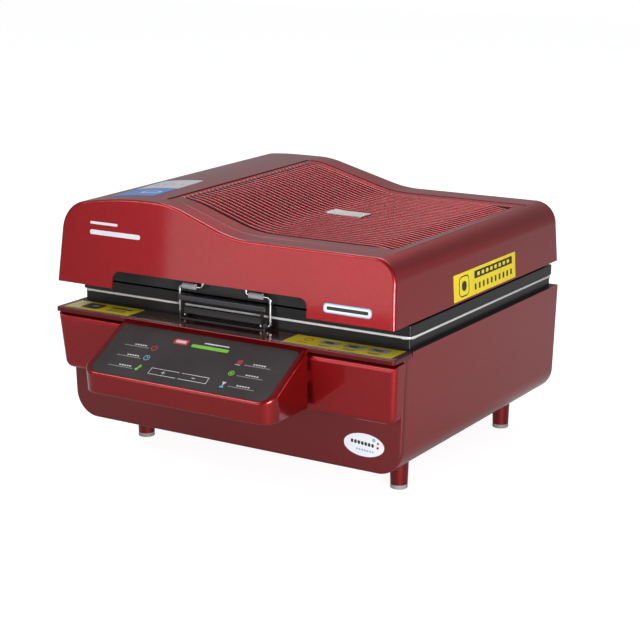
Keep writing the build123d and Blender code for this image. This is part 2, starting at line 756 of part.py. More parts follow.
lid_outer = lid_block(0)
lid_inner = lid_block(lid_wall)

vent_front = 44.0             # vent panel's front edge, behind the lid's
vent_rear = 50.0              # its rear edge, ahead of the lid's
vent_left_inset = (164.0, 139.0)   # its front and rear corners, inside the lid's sides
vent_right_inset = (28.0, 31.0)
vent_seam = 0.8
vent_sink = 0.6
vent_plate = 2.4
vent_ledge = 6.0
vent_ledge_wall = 1.6
vent_bed = vent_sink + vent_plate + 0.1
slot_pitch = 10.7
slot_width = 5.0
slot_first = 79.0             # first slot, behind the lid's front edge
slot_last_gap = 15.0          # least room behind the last slot
slot_inset_left = 4.2
slot_inset_right = 17.2
vent_back = lid_depth - vent_rear
vent_left_x = [inset - lid_width / 2 for inset in vent_left_inset]
vent_right_x = [lid_width / 2 - inset for inset in vent_right_inset]
slot_count = int((vent_back - slot_first - slot_last_gap) / slot_pitch) + 1


def vent_sketch(grow):
    """The vent panel's plan, a slightly skewed rectangle with small corners."""
    with BuildLine() as outline:
        FilletPolyline(
            (vent_left_x[0] - grow, front_y + vent_front - grow),
            (vent_right_x[0] + grow, front_y + vent_front - grow),
            (vent_right_x[1] + grow, front_y + vent_back + grow),
            (vent_left_x[1] - grow, front_y + vent_back + grow),
            radius=vent_corner, close=True,
        )
    make_face(outline.edges())


notch_left_inset = 99.5       # notch over the latch, inside the lid's sides
notch_right_inset = 131.0
notch_height = 25.0
notch_corner = 12.0
notch_overcut = 20.0          # the notch's cut, below the lid's edge
notch_depth = 25.0
vent_low = 30.0               # start of the vent's cuts, below the lid's flat
vent_tall = 120.0             # cutting height over the vent panel
vent_corner = 6.0
vent_low_z = lid_z + flat_height - vent_low
notch_left_x = notch_left_inset - lid_width / 2
notch_right_x = lid_width / 2 - notch_right_inset


def lowered(depth):
    """The place of a copy of the lid's form, moved down by depth."""
    return Locations((0, 0, -depth))


with BuildPart() as vent_ledge_ring:
    with BuildSketch(Plane.XY.offset(vent_low_z)):
        vent_sketch(vent_ledge)
    extrude(amount=vent_tall)
    with lowered(lid_wall / 2):
        add(lid_outer, mode=Mode.INTERSECT)
    with lowered(vent_bed + vent_ledge_wall):
        add(lid_outer, mode=Mode.SUBTRACT)
with BuildPart() as vent_pocket:
    with BuildSketch(Plane.XY.offset(vent_low_z)):
        vent_sketch(vent_seam)
    extrude(amount=vent_tall)
    with lowered(vent_bed):
        add(lid_outer, mode=Mode.SUBTRACT)
with BuildPart() as vent_hole:
    with BuildSketch(Plane.XY.offset(vent_low_z)):
        vent_sketch(-vent_ledge)
    extrude(amount=vent_tall)

with BuildPart() as lid_shell:
    add(lid_outer)
    add(lid_inner, mode=Mode.SUBTRACT)
    add(vent_ledge_ring.part)
    add(vent_pocket.part, mode=Mode.SUBTRACT)
    add(vent_hole.part, mode=Mode.SUBTRACT)
    with BuildSketch(Plane.XZ.offset(-(front_y - 5))):
        with BuildLine():
            FilletPolyline(
                (notch_left_x, lid_z - notch_overcut), (notch_left_x, lid_z + notch_height),
                (notch_right_x, lid_z + notch_height), (notch_right_x, lid_z - notch_overcut),
                radius=notch_corner, close=True,
            )
        make_face()
    extrude(amount=-notch_depth, mode=Mode.SUBTRACT)
export(lid_shell.part, "lid_shell")

with BuildPart() as vent_panel:
    with BuildSketch(Plane.XY.offset(vent_low_z)):
        vent_sketch(0)
    extrude(amount=vent_tall)
    with lowered(vent_sink):
        add(lid_outer, mode=Mode.INTERSECT)
    with lowered(vent_sink + vent_plate):
        add(lid_outer, mode=Mode.SUBTRACT)
    with BuildSketch(Plane.XY.offset(vent_low_z)):
        for i in range(slot_count):
            reach = slot_first + i * slot_pitch
            share = (reach - vent_front) / (vent_back - vent_front)
            left = vent_left_x[0] + share * (vent_left_x[1] - vent_left_x[0]) + slot_inset_left
            right = vent_right_x[0] + share * (vent_right_x[1] - vent_right_x[0]) - slot_inset_right
            with Locations(((left + right) / 2, front_y + reach)):
                SlotOverall(right - left, slot_width)
    extrude(amount=vent_tall, mode=Mode.SUBTRACT)
export(vent_panel.part, "vent_panel")

# ================================================================ heating unit in the lid
housing_gap = 13.0            # heater housing, inside the lid's sides
housing_front = 54.0          # behind the lid's front edge
housing_rear = 14.0           # ahead of the lid's rear edge
housing_half_width = lid_width / 2 - housing_gap
housing_below = 3.4           # bottom edge, below the lid's
housing_height = 66.5
housing_wall = 1.2
housing_lip = 8.0
lip_rise = 3.0
housing_edge = 4.0
flange_bite = 0.3             # flanges, into the housing's walls
flange_rise = 1.2             # flanges, above the lid's bottom edge
housing_z = lid_z - housing_below
housing_top_z = housing_z + housing_height
housing_front_y = front_y + housing_front
housing_back_y = rear_y - housing_rear
housing_mid_y = (housing_front_y + housing_back_y) / 2
housing_length = housing_back_y - housing_front_y
flange_z = lid_z + flange_rise
flange_margin = 20.0
tube_drop = 33.0              # heating tubes, below the housing's roof
tube_z = housing_top_z - tube_drop
probe_x = 60.0
probe_radius = 2.5
probe_length = 58.0
probe_drop = 14.0             # probe, below the tubes
probe_fit = 0.1
probe_nut_radius = 6.0
probe_nut_depth = 5.0
probe_tip = 1.2
probe_z = tube_z - probe_drop

with BuildPart() as heater_housing:
    with BuildSketch(Plane.XY.offset(housing_z)):
        with Locations((0, housing_mid_y)):
            Rectangle(2 * housing_half_width, housing_length)
    extrude(amount=housing_height)
    fillet(heater_housing.faces().sort_by(Axis.Z)[-1].edges(), housing_edge)
    with BuildSketch(Plane.XY.offset(housing_z - 1)):
        with Locations((0, housing_mid_y)):
            Rectangle(2 * (housing_half_width - housing_wall), housing_length - 2 * housing_wall)
    extrude(amount=housing_height - housing_wall + 1, mode=Mode.SUBTRACT)
    # inward lip that carries the guard
    with BuildSketch(Plane.XY.offset(housing_z + lip_rise)):
        with Locations((0, housing_mid_y)):
            Rectangle(2 * (housing_half_width - housing_wall / 2), housing_length - housing_wall)
            Rectangle(2 * (housing_half_width - housing_lip), housing_length - 2 * housing_lip,
                      mode=Mode.SUBTRACT)
    extrude(amount=housing_wall)
    # side flanges that hang the unit from the lid's walls
    with BuildSketch(Plane.XY.offset(flange_z)):
        for side in (-1, 1):
            edge_x = lid_width / 2 - lid_wall - fit_gap
            flange_x = (housing_half_width + edge_x) / 2 - flange_bite
            with Locations((side * flange_x, housing_mid_y)):
                Rectangle(edge_x - housing_half_width + flange_bite, housing_length - 2 * flange_margin)
    extrude(amount=housing_wall)
    # the probe's hole through the rear wall
    with BuildSketch(Plane.XZ.offset(-(housing_back_y + 1))):
        with Locations((probe_x, probe_z)):
            Circle(probe_radius + probe_fit)
    extrude(amount=housing_wall + 2, mode=Mode.SUBTRACT)
export(heater_housing.part, "heater_housing")

reflector_wall = 0.8
reflector_rib = 5.0
reflector_rib_half = 9.0
reflector_margin = 6.0
rail_margin = 4.0             # reflector's ends, inside the rails
tube_radius = 5.0
tube_count = 6
rail_end_gap = 13.0           # rails' ends, inside the housing's ends
tube_pitch = (housing_length - 2 * rail_end_gap) / tube_count
tube_end_gap = 12.0           # tube ends, inside the housing's walls
tube_half_length = housing_half_width - tube_end_gap
tube_rows = [housing_mid_y + (i - (tube_count - 1) / 2) * tube_pitch for i in range(tube_count)]
rail_gap = 24.0               # rails, inside the housing's walls
rail_x = housing_half_width - rail_gap
rail_wall = 2.0
rail_below = 6.0
cap_radius = 7.0
cap_length = 12.0
cap_overhang = 2.0            # cap, past the tube's end
cap_fit = 0.1
roof_inner_z = housing_top_z - housing_wall

with BuildPart() as reflector:
    reflector_z = roof_inner_z - fit_gap - reflector_wall
    with BuildSketch(Plane.XY.offset(reflector_z)):
        with Locations((0, housing_mid_y)):
            Rectangle(2 * (rail_x - rail_margin), housing_length - 2 * reflector_margin)
    extrude(amount=reflector_wall)
    # pressed ridges between the tubes
    for row in tube_rows[:-1]:
        with BuildSketch(Plane.YZ.offset(-rail_x + 2 * rail_margin)):
            with Locations((row + tube_pitch / 2, reflector_z)):
                Polygon((-reflector_rib_half, reflector_wall / 2), (reflector_rib_half, reflector_wall / 2),
                        (0, -reflector_rib), align=None)
        extrude(amount=2 * rail_x - 4 * rail_margin)
export(reflector.part, "reflector")

with BuildPart() as tube_rails:
    for side in (-1, 1):
        with BuildSketch(Plane.YZ.offset(side * rail_x - rail_wall / 2)):
            low = tube_z - tube_radius - rail_below
            high = roof_inner_z - fit_gap
            with Locations((housing_mid_y, (low + high) / 2)):
                Rectangle(tube_pitch * tube_count, high - low)
            with Locations(*[(row, tube_z) for row in tube_rows]):
                Circle(tube_radius + fit_gap, mode=Mode.SUBTRACT)
        extrude(amount=rail_wall)
export(tube_rails.part, "tube_rails")

with BuildPart() as heating_tubes:
    with BuildSketch(Plane.YZ.offset(-tube_half_length)):
        with Locations(*[(row, tube_z) for row in tube_rows]):
            Circle(tube_radius)
    extrude(amount=2 * tube_half_length)
export(heating_tubes.part, "heating_tubes")

with BuildPart() as tube_caps:
    for side in (-1, 1):
        start = side * (tube_half_length - cap_length / 2 + cap_overhang) - cap_length / 2
        with BuildSketch(Plane.YZ.offset(start)):
            with Locations(*[(row, tube_z) for row in tube_rows]):
                Circle(cap_radius)
        extrude(amount=cap_length)
    with BuildSketch(Plane.YZ.offset(-tube_half_length)):
        with Locations(*[(row, tube_z) for row in tube_rows]):
            Circle(tube_radius + cap_fit)
    extrude(amount=2 * tube_half_length, mode=Mode.SUBTRACT)
export(tube_caps.part, "tube_caps")

guard_columns = 9
guard_rows = 7
guard_thickness = 1.5
guard_bar = 3.0
guard_fit = 0.8               # bars' ends, inside the housing's walls
guard_z = housing_z + lip_rise + housing_wall + fit_gap
guard_width = 2 * (housing_half_width - housing_wall - guard_fit)
guard_length = housing_length - 2 * (housing_wall + guard_fit)
with BuildPart() as heater_guard:
    cell_x = (guard_width - guard_bar) / guard_columns
    cell_y = (guard_length - guard_bar) / guard_rows
    with BuildSketch(Plane.XY.offset(guard_z)):
        with Locations((0, housing_mid_y)):
            with GridLocations(cell_x, 1, guard_columns + 1, 1):
                Rectangle(guard_bar, guard_length)
    extrude(amount=guard_thickness)
    with BuildSketch(Plane.XY.offset(guard_z + guard_thickness + fit_gap)):
        with Locations((0, housing_mid_y)):
            with GridLocations(1, cell_y, 1, guard_rows + 1):
                Rectangle(guard_width, guard_bar)
    extrude(amount=guard_thickness)
export(heater_guard.part, "heater_guard")

with BuildPart() as temperature_probe:
    with BuildSketch(Plane.XZ.offset(-(housing_back_y + fit_gap))):
        with Locations((probe_x, probe_z)):
            RegularPolygon(probe_nut_radius, 6)
    extrude(amount=-probe_nut_depth)
    with BuildSketch(Plane.XZ.offset(-(housing_back_y + 1))):
        with Locations((probe_x, probe_z)):
            Circle(probe_radius)
    extrude(amount=probe_length)
    fillet(temperature_probe.faces().sort_by(Axis.Y)[0].edges(), probe_tip)
export(temperature_probe.part, "temperature_probe")

# ================================================================ front latch
latch_x = -16.0
bail_setback = 44.5           # bail, behind the lid's front edge
lever_setback = 41.0
latch_rise = 4.6              # both pivots, above the deck
bail_half_width = 75.0
bail_inner_half = 36.0
bail_wire = 1.8
bail_bend = 4.5
bail_end_bend = 3.0
shoulder_rise = 40.0          # bail's shoulders, above its pivot
crown_rise = 12.0             # bail's crown, above its shoulders
bail_end_half = 67.6
lug_half = 68.5
lug_wall = 3.0
lug_setback = 43.0            # lugs' middle, behind the lid's front edge
lug_depth = 12.0
lug_height = 10.0
lug_corner = 3.0
bracket_wall = 1.2
bracket_setback = 43.5
bracket_depth = 13.0
cheek_half = 64.5
cheek_wall = 2.5
cheek_radius = 3.2
grip_half = 70.5
grip_depth = 6.0
grip_height = 8.0
grip_rise = 21.0              # grip's underside, above the pivot
grip_lead = 6.5               # grip's front face, ahead of the lever's pivot
grip_edge = 1.5
cheek_step = 0.6              # cheek's top corners, inside the grip's faces
web_lead = 2.8                # lever's web, ahead of its pivot
web_rise = 7.6                # web's middle, above the pivot
web_height = 8.6
web_wall = 1.5
web_bite = 0.5                # web, into the cheeks
latch_screw_radius = 1.5
latch_screw_stub = 1.0        # screw's end, outside the bracket
latch_head_radius = 2.8
latch_head_depth = 1.8

bail_y = front_y + bail_setback
lever_y = front_y + lever_setback
latch_z = rim_z + latch_rise
shoulder_z = latch_z + shoulder_rise
crown_z = shoulder_z + crown_rise

with BuildPart() as latch_bracket:
    with BuildSketch(Plane.XY.offset(rim_z)):
        with Locations((latch_x, front_y + bracket_setback)):
            Rectangle(2 * (lug_half + lug_wall), bracket_depth)
    extrude(amount=bracket_wall)
    for side in (-1, 1):
        with BuildSketch(Plane.YZ.offset(latch_x + side * (lug_half + lug_wall / 2) - lug_wall / 2)):
            with Locations((front_y + lug_setback, rim_z + lug_height / 2)):
                RectangleRounded(lug_depth, lug_height, lug_corner)
            with Locations((front_y + lug_setback, rim_z + lug_corner / 2)):
                Rectangle(lug_depth, lug_corner)
            with Locations((bail_y, latch_z)):
                Circle(bail_wire + shaft_clearance, mode=Mode.SUBTRACT)
            with Locations((lever_y, latch_z)):
                Circle(latch_screw_radius + shaft_clearance, mode=Mode.SUBTRACT)
        extrude(amount=lug_wall)
export(latch_bracket.part, "latch_bracket")

with BuildPart() as latch_bail:
    with BuildLine() as bail_path:
        FilletPolyline(
            (latch_x - bail_end_half, bail_y, latch_z), (latch_x - bail_half_width, bail_y, latch_z),
            (latch_x - bail_half_width, bail_y, shoulder_z),
            (latch_x - bail_inner_half, bail_y, shoulder_z),
            (latch_x - bail_inner_half, bail_y, crown_z), (latch_x + bail_inner_half, bail_y, crown_z),
            (latch_x + bail_inner_half, bail_y, shoulder_z),
            (latch_x + bail_half_width, bail_y, shoulder_z),
            (latch_x + bail_half_width, bail_y, latch_z), (latch_x + bail_end_half, bail_y, latch_z),
            radius=[bail_end_bend] + [bail_bend] * 6 + [bail_end_bend],
        )
    with BuildSketch(Plane(bail_path.line @ 0, z_dir=(-1, 0, 0))):
        Circle(bail_wire)
    sweep(path=bail_path.line)
export(latch_bail.part, "latch_bail")

roller_radius = 4.25
roller_bore = 2.1
roller_length = 22.0
roller_end_gap = 0.6
roller_chamfer = 0.6
roller_starts = {
    "left": latch_x - bail_half_width + bail_bend + roller_end_gap,
    "right": latch_x + bail_inner_half + bail_bend + roller_end_gap,
}
for side_name, start in roller_starts.items():
    with BuildPart() as roller:
        with BuildSketch(Plane.YZ.offset(start)):
            with Locations((bail_y, shoulder_z)):
                Circle(roller_radius)
                Circle(roller_bore, mode=Mode.SUBTRACT)
        extrude(amount=roller_length)
        chamfer(roller.edges().filter_by(GeomType.CIRCLE).group_by(SortBy.RADIUS)[-1], roller_chamfer)
    export(roller.part, f"bail_roller_{side_name}")

grip_y = lever_y - grip_lead
grip_z = latch_z + grip_rise
with BuildPart() as latch_lever:
    for side in (-1, 1):
        with BuildSketch(Plane.YZ.offset(latch_x + side * (cheek_half + cheek_wall / 2) - cheek_wall / 2)):
            with BuildLine():
                Polyline(
                    (lever_y - cheek_radius, latch_z), (grip_y + cheek_step, grip_z),
                    (grip_y + grip_depth - cheek_step, grip_z), (lever_y + cheek_radius, latch_z),
                    close=True,
                )
            make_face()
            with Locations((lever_y, latch_z)):
                Circle(cheek_radius)
                Circle(latch_screw_radius + shaft_clearance, mode=Mode.SUBTRACT)
        extrude(amount=cheek_wall)
    with BuildSketch(Plane.XZ.offset(-(lever_y - web_lead))):
        with Locations((latch_x, latch_z + web_rise)):
            Rectangle(2 * (cheek_half + web_bite), web_height)
    extrude(amount=-web_wall)
export(latch_lever.part, "latch_lever")

with BuildPart() as lever_grip:
    with BuildSketch(Plane.XY.offset(grip_z)):
        with Locations((latch_x, grip_y + grip_depth / 2)):
            Rectangle(2 * grip_half, grip_depth)
    extrude(amount=grip_height)
    fillet(lever_grip.edges().filter_by(Axis.X), grip_edge)
export(lever_grip.part, "lever_grip")

with BuildPart() as latch_screws:
    for side in (-1, 1):
        inner = latch_x + side * (cheek_half - fit_gap)
        outer = latch_x + side * (lug_half + lug_wall + latch_screw_stub)
        with BuildSketch(Plane.YZ.offset(min(inner, outer))):
            with Locations((lever_y, latch_z)):
                Circle(latch_screw_radius)
        extrude(amount=abs(outer - inner))
        head_start = inner - latch_head_depth if side > 0 else inner
        with BuildSketch(Plane.YZ.offset(head_start)):
            with Locations((lever_y, latch_z)):
                Circle(latch_head_radius)
        extrude(amount=latch_head_depth)
export(latch_screws.part, "latch_screws")

catch_half = 30.0
catch_gap = 0.7               # between the bail's crown and the catch's lip
catch_wall = 1.6
catch_shelf_drop = 2.4        # between the bail's crown and the shelf under it
catch_foot = 6.0              # catch's foot, above the housing's bottom edge
catch_top = 6.0               # its back plate, above the bail's crown
catch_lip = 1.0               # its lip, above the bail's crown
with BuildPart() as lid_catch:
    lip_y = bail_y + bail_wire + catch_gap
    shelf_z = crown_z - bail_wire - catch_shelf_drop
    foot_z = housing_z + catch_foot
    back_z = crown_z + catch_top
    with BuildSketch(Plane.YZ.offset(latch_x - catch_half)):
        with BuildLine():
            Polyline(
                (housing_front_y, foot_z), (housing_front_y, back_z),
                (housing_front_y - catch_wall, back_z),
                (housing_front_y - catch_wall, shelf_z + catch_wall),
                (lip_y + catch_wall, shelf_z + catch_wall), (lip_y + catch_wall, crown_z + catch_lip),
                (lip_y, crown_z + catch_lip), (lip_y, shelf_z), (housing_front_y - catch_wall, shelf_z),
                (housing_front_y - catch_wall, foot_z), close=True,
            )
        make_face()
    extrude(amount=2 * catch_half)
export(lid_catch.part, "lid_catch")

# ================================================================ inside the base
floor_z = shell_bottom_z + sheet
pump_setback = 90.0           # pump, behind the well's middle
pump_y = frame_mid_y + pump_setback
mount_height = 8.0
mount_radius = 8.0
mount_x = (-60.0, 90.0)       # mounts, beside the joint of head and motor
mount_y = (-28.0, 28.0)
pump_plate = 2.5
pump_plate_size = (180.0, 78.0, 5.0)   # width, depth and corner radius
pump_plate_shift = 15.0
saddle_size = (60.0, 40.0, 12.0)
motor_radius = 35.0
motor_length = 110.0
motor_edge = 5.0
head_length = 80.0
head_depth = 72.0
head_corner = 8.0
head_offset = 60.0            # joint of head and motor, right of the pan's port
fin_pitch = 9.0
fin_gap = 4.0
fin_gap_count = 8
fin_depth = 10.0
valve_size = 30.0
valve_height = 12.0
valve_corner = 3.0
valve_port_radius = 3.0
valve_port_length = 8.0
valve_clear = 1.6             # valve's top, below the pan
coil_radius = 11.0
coil_height = 12.0
pump_split_x = port_x + head_offset
pump_plate_z = floor_z + mount_height
motor_lift = 3.0              # motor body above its foot plate
motor_z = pump_plate_z + pump_plate + motor_lift + motor_radius
head_height = pan_floor_z - valve_clear - coil_height - valve_height - fit_gap - pump_plate_z
mount_places = [(pump_split_x + dx, pump_y + dy) for dx in mount_x for dy in mount_y]

with BuildPart() as pump_mounts:
    with BuildSketch(Plane.XY.offset(floor_z)):
        with Locations(*mount_places):
            Circle(mount_radius)
    extrude(amount=mount_height)
export(pump_mounts.part, "pump_mounts")

with BuildPart() as pump_motor:
    with BuildSketch(Plane.YZ.offset(pump_split_x + fit_gap)):
        with Locations((pump_y, motor_z)):
            Circle(motor_radius)
    extrude(amount=motor_length)
    fillet(pump_motor.faces().sort_by(Axis.X)[-1].edges(), motor_edge)
    # saddle under the motor, on a plate that runs on under the pump head
    with BuildSketch(Plane.XY.offset(pump_plate_z)):
        with Locations((pump_split_x + motor_length / 2, pump_y)):
            Rectangle(saddle_size[0], saddle_size[1])
    extrude(amount=saddle_size[2])
    with BuildSketch(Plane.XY.offset(pump_plate_z)):
        with Locations((pump_split_x + pump_plate_shift, pump_y)):
            RectangleRounded(*pump_plate_size)
    extrude(amount=pump_plate)
export(pump_motor.part, "pump_motor")

nozzle_radius = 5.0
nozzle_length = 16.0
nozzle_x = port_x
head_front_y = pump_y - head_depth / 2
with BuildPart() as pump_head:
    head_z = pump_plate_z + pump_plate
    with BuildSketch(Plane.XY.offset(head_z)):
        with Locations((pump_split_x - head_length / 2, pump_y)):
            RectangleRounded(head_length, head_depth, head_corner)
    extrude(amount=head_height - pump_plate)
    # cooling fins
    with BuildSketch(Plane.XY.offset(head_z + head_height - pump_plate - fin_depth)):
        with Locations((pump_split_x - head_length / 2, pump_y)):
            with GridLocations(fin_pitch, 0, fin_gap_count, 1):
                Rectangle(fin_gap, head_depth + 2)
    extrude(amount=2 * fin_depth, mode=Mode.SUBTRACT)
    with BuildSketch(Plane.XZ.offset(-(head_front_y + 1))):
        with Locations((nozzle_x, motor_z)):
            Circle(nozzle_radius)
            Circle(port_bore, mode=Mode.SUBTRACT)
    extrude(amount=nozzle_length + 1)
export(pump_head.part, "pump_head")

hose_radius = 8.0
hose_bend = 26.0
hose_overlap = 12.0
with BuildPart() as vacuum_hose:
    with BuildLine() as hose_path:
        FilletPolyline(
            (port_x, frame_mid_y, pan_floor_z - port_drop + hose_overlap),
            (port_x, frame_mid_y, motor_z),
            (port_x, head_front_y - nozzle_length + hose_overlap, motor_z),
            radius=hose_bend,
        )
    with BuildSketch(Plane(hose_path.line @ 0, x_dir=(1, 0, 0), z_dir=(0, 0, -1))):
        Circle(hose_radius)
        Circle(port_radius + shaft_clearance, mode=Mode.SUBTRACT)
    sweep(path=hose_path.line)
export(vacuum_hose.part, "vacuum_hose")

with BuildPart() as release_valve:
    valve_z = pump_plate_z + head_height + fit_gap
    with BuildSketch(Plane.XY.offset(valve_z)):
        with Locations((pump_split_x - head_length / 2, pump_y)):
            RectangleRounded(valve_size, valve_size, valve_corner)
    extrude(amount=valve_height)
    with BuildSketch(Plane.XY.offset(valve_z + valve_height)):
        with Locations((pump_split_x - head_length / 2, pump_y)):
            Circle(coil_radius)
    extrude(amount=coil_height)
    with BuildSketch(Plane.XZ.offset(-(pump_y - valve_size / 2))):
        with Locations((pump_split_x - head_length / 2, valve_z + valve_height / 2)):
            Circle(valve_port_radius)
    extrude(amount=valve_port_length)
export(release_valve.part, "release_valve")

power_inset = 136.0           # board's middle, inside the base's right side
power_lead = 20.0             # and ahead of the well's middle
power_width = 140.0
power_length = 100.0
standoff = 8.0
standoff_radius = 4.0
standoff_inset = 6.0
board_corner = 3.0
transformer_place = (-38.0, 20.0)
transformer_size = (44.0, 38.0, 36.0)
transformer_corner = 2.0
sink_place = (40.0, 20.0)
sink_spine = (40.0, 4.0)
sink_fin = (2.0, 22.0)
sink_pitch = 8.0
sink_fin_count = 5
sink_height = 30.0
relay_place = (-30.0, -28.0)
relay_size = (18.0, 14.0, 15.0)
relay_pitch = 22.0
relay_count = 3
capacitor_place = (44.0, -26.0)
capacitor_radius = 9.0
capacitor_pitch = 26.0
capacitor_count = 2
capacitor_height = 24.0
power_x = base_half_width - power_inset
power_y = frame_mid_y - power_lead
with BuildPart() as power_board:
    board_z = floor_z + standoff
    with BuildSketch(Plane.XY.offset(board_z)):
        with Locations((power_x, power_y)):
            RectangleRounded(power_width, power_length, board_corner)
    extrude(amount=board_thickness)
    with BuildSketch(Plane.XY.offset(floor_z)):
        with Locations((power_x, power_y)):
            with GridLocations(power_width - 2 * standoff_inset, power_length - 2 * standoff_inset, 2, 2):
                Circle(standoff_radius)
    extrude(amount=standoff)
    part_top = Plane.XY.offset(board_z + board_thickness)
    with BuildSketch(part_top):
        with Locations((power_x + transformer_place[0], power_y + transformer_place[1])):
            RectangleRounded(transformer_size[0], transformer_size[1], transformer_corner)
    extrude(amount=transformer_size[2])
    with BuildSketch(part_top):
        with Locations((power_x + sink_place[0], power_y + sink_place[1])):
            Rectangle(*sink_spine)
            with GridLocations(sink_pitch, 0, sink_fin_count, 1):
                Rectangle(*sink_fin)
    extrude(amount=sink_height)
    with BuildSketch(part_top):
        with Locations((power_x + relay_place[0], power_y + relay_place[1])):
            with GridLocations(relay_pitch, 0, relay_count, 1):
                Rectangle(relay_size[0], relay_size[1])
    extrude(amount=relay_size[2])
    with BuildSketch(part_top):
        with Locations((power_x + capacitor_place[0], power_y + capacitor_place[1])):
            with GridLocations(capacitor_pitch, 0, capacitor_count, 1):
                Circle(capacitor_radius)
    extrude(amount=capacitor_height)
export(power_board.part, "power_board")

# ================================================================ rear panel and its fittings
fan_inset = 111.0             # fittings' centres, inside the base's sides
inlet_inset = 86.0
switch_pitch = 60.0           # switch, beside the inlet
fan_lift = 1.55               # fan's and louvres' middle, above the middle of the room for them
inlet_rise = 46.0             # inlet's middle, above the base's underside
fan_x = -(base_half_width - fan_inset)
fan_z = (floor_z + rim_z + bracket_rise - bracket_drop) / 2 + fan_lift
fan_size = 80.0
fan_depth = 25.0
fan_bore = 38.0
fan_shaft = 2.0
fan_hub = 16.0
fan_tip = 35.0
fan_blades = 7
fan_corner = 5.0
fan_hole = 2.2
fan_hole_inset = 4.5
strut_width = 4.0
strut_depth = 3.0
shaft_short = 6.0             # shaft, shorter than the fan's depth
louvre_count = 6
louvre_pitch = 12.0
louvre_length = 130.0
louvre_height = 4.0
inlet_x = base_half_width - inlet_inset
inlet_z = shell_bottom_z + inlet_rise
inlet_width = 27.0
inlet_height = 20.0
inlet_depth = 24.0
inlet_flange = 3.0
inlet_corner = 3.0
inlet_flange_rim = (10.5, 4.0)     # flange, wider than the socket at the sides and ends
inlet_flange_corner = 4.0
inlet_walls = (1.5, 1.75)          # side and end walls of the hollow
inlet_back_wall = 3.0
inlet_hollow_corner = 2.0
switch_x = inlet_x - switch_pitch
switch_width = 19.0
switch_height = 27.0
switch_depth = 20.0
switch_flange = 2.0
switch_rim = (2.0, 2.5)            # rim, wider than the body at the sides and ends
switch_corner = 2.0
guard_wire = 1.1
guard_ring_radii = (14.0, 22.0, 30.0, 38.0)
guard_spoke = 104.0
guard_foot = 4.5
panel_inner_y = rear_y - sheet
fan_hole_pitch = fan_size - 2 * fan_hole_inset

with BuildPart() as rear_panel:
    with BuildSketch(Plane.XZ.offset(-panel_inner_y)):
        tub_outline(0, rim_z)
        with Locations((fan_x, fan_z)):
            Circle(fan_bore, mode=Mode.SUBTRACT)
        with Locations((inlet_x, inlet_z)):
            Rectangle(inlet_width + 2 * fit_gap, inlet_height + 2 * fit_gap, mode=Mode.SUBTRACT)
        with Locations((switch_x, inlet_z)):
            Rectangle(switch_width + 2 * fit_gap, switch_height + 2 * fit_gap, mode=Mode.SUBTRACT)
        # louvres
        with Locations((0, fan_z)):
            with GridLocations(0, louvre_pitch, 1, louvre_count):
                SlotOverall(louvre_length, louvre_height, mode=Mode.SUBTRACT)
    extrude(amount=-sheet)
export(rear_panel.part, "rear_panel")

with BuildPart() as fan_housing:
    with BuildSketch(Plane.XZ.offset(-(panel_inner_y - fan_depth))):
        with Locations((fan_x, fan_z)):
            RectangleRounded(fan_size, fan_size, fan_corner)
            Circle(fan_bore, mode=Mode.SUBTRACT)
            with GridLocations(fan_hole_pitch, fan_hole_pitch, 2, 2):
                Circle(fan_hole, mode=Mode.SUBTRACT)
    extrude(amount=-fan_depth)
    # struts and motor seat on the inner side
    with BuildSketch(Plane.XZ.offset(-(panel_inner_y - fan_depth))):
        with Locations((fan_x, fan_z)):
            Circle(fan_hub)
            for turn in (45, -45):
                Rectangle(2 * fan_bore + 2, strut_width, rotation=turn)
    extrude(amount=-strut_depth)
    with BuildSketch(Plane.XZ.offset(-(panel_inner_y - fan_depth))):
        with Locations((fan_x, fan_z)):
            Circle(fan_shaft)
    extrude(amount=-(fan_depth - shaft_short))
export(fan_housing.part, "fan_housing")

rotor_gap = 0.5
rotor_y = panel_inner_y - fan_depth + strut_depth + rotor_gap
rotor_depth = 17.0
blade_pitch = 30.0            # degrees, from the plane of the fan
blade_chord = 22.0
blade_wall = 1.4
blade_root = 2.0              # blades, into the hub
with BuildPart() as fan_rotor:
    with BuildSketch(Plane.XZ.offset(-rotor_y)):
        with Locations((fan_x, fan_z)):
            Circle(fan_hub)
    extrude(amount=-rotor_depth)
    for i in range(fan_blades):
        angle = 360 / fan_blades * i
        blade_plane = Plane(
            origin=(fan_x + (fan_hub - blade_root) * cos(radians(angle)), rotor_y + rotor_depth / 2,
                    fan_z + (fan_hub - blade_root) * sin(radians(angle))),
            x_dir=(-sin(radians(angle)), 0, cos(radians(angle))),
            z_dir=(cos(radians(angle)), 0, sin(radians(angle))),
        )
        with BuildSketch(blade_plane):
            Rectangle(blade_chord, blade_wall, rotation=blade_pitch)
        extrude(amount=fan_tip - fan_hub + blade_root)
    with BuildSketch(Plane.XZ.offset(-(rotor_y - 1))):
        with Locations((fan_x, fan_z)):
            Circle(fan_shaft + shaft_clearance)
    extrude(amount=-(rotor_depth + 2), mode=Mode.SUBTRACT)
export(fan_rotor.part, "fan_rotor")

with BuildPart() as fan_guard:
    for ring_radius in guard_ring_radii:
        with BuildSketch(Plane.XZ.offset(-rear_y)):
            with Locations((fan_x, fan_z)):
                Circle(ring_radius + guard_wire)
                Circle(ring_radius - guard_wire, mode=Mode.SUBTRACT)
        extrude(amount=-2 * guard_wire)
    with BuildSketch(Plane.XZ.offset(-rear_y)):
        with Locations((fan_x, fan_z)):
            for turn in (45, -45):
                Rectangle(guard_spoke, 2 * guard_wire, rotation=turn)
            with GridLocations(fan_hole_pitch, fan_hole_pitch, 2, 2):
                Circle(guard_foot)
    extrude(amount=-2 * guard_wire)
export(fan_guard.part, "fan_guard")

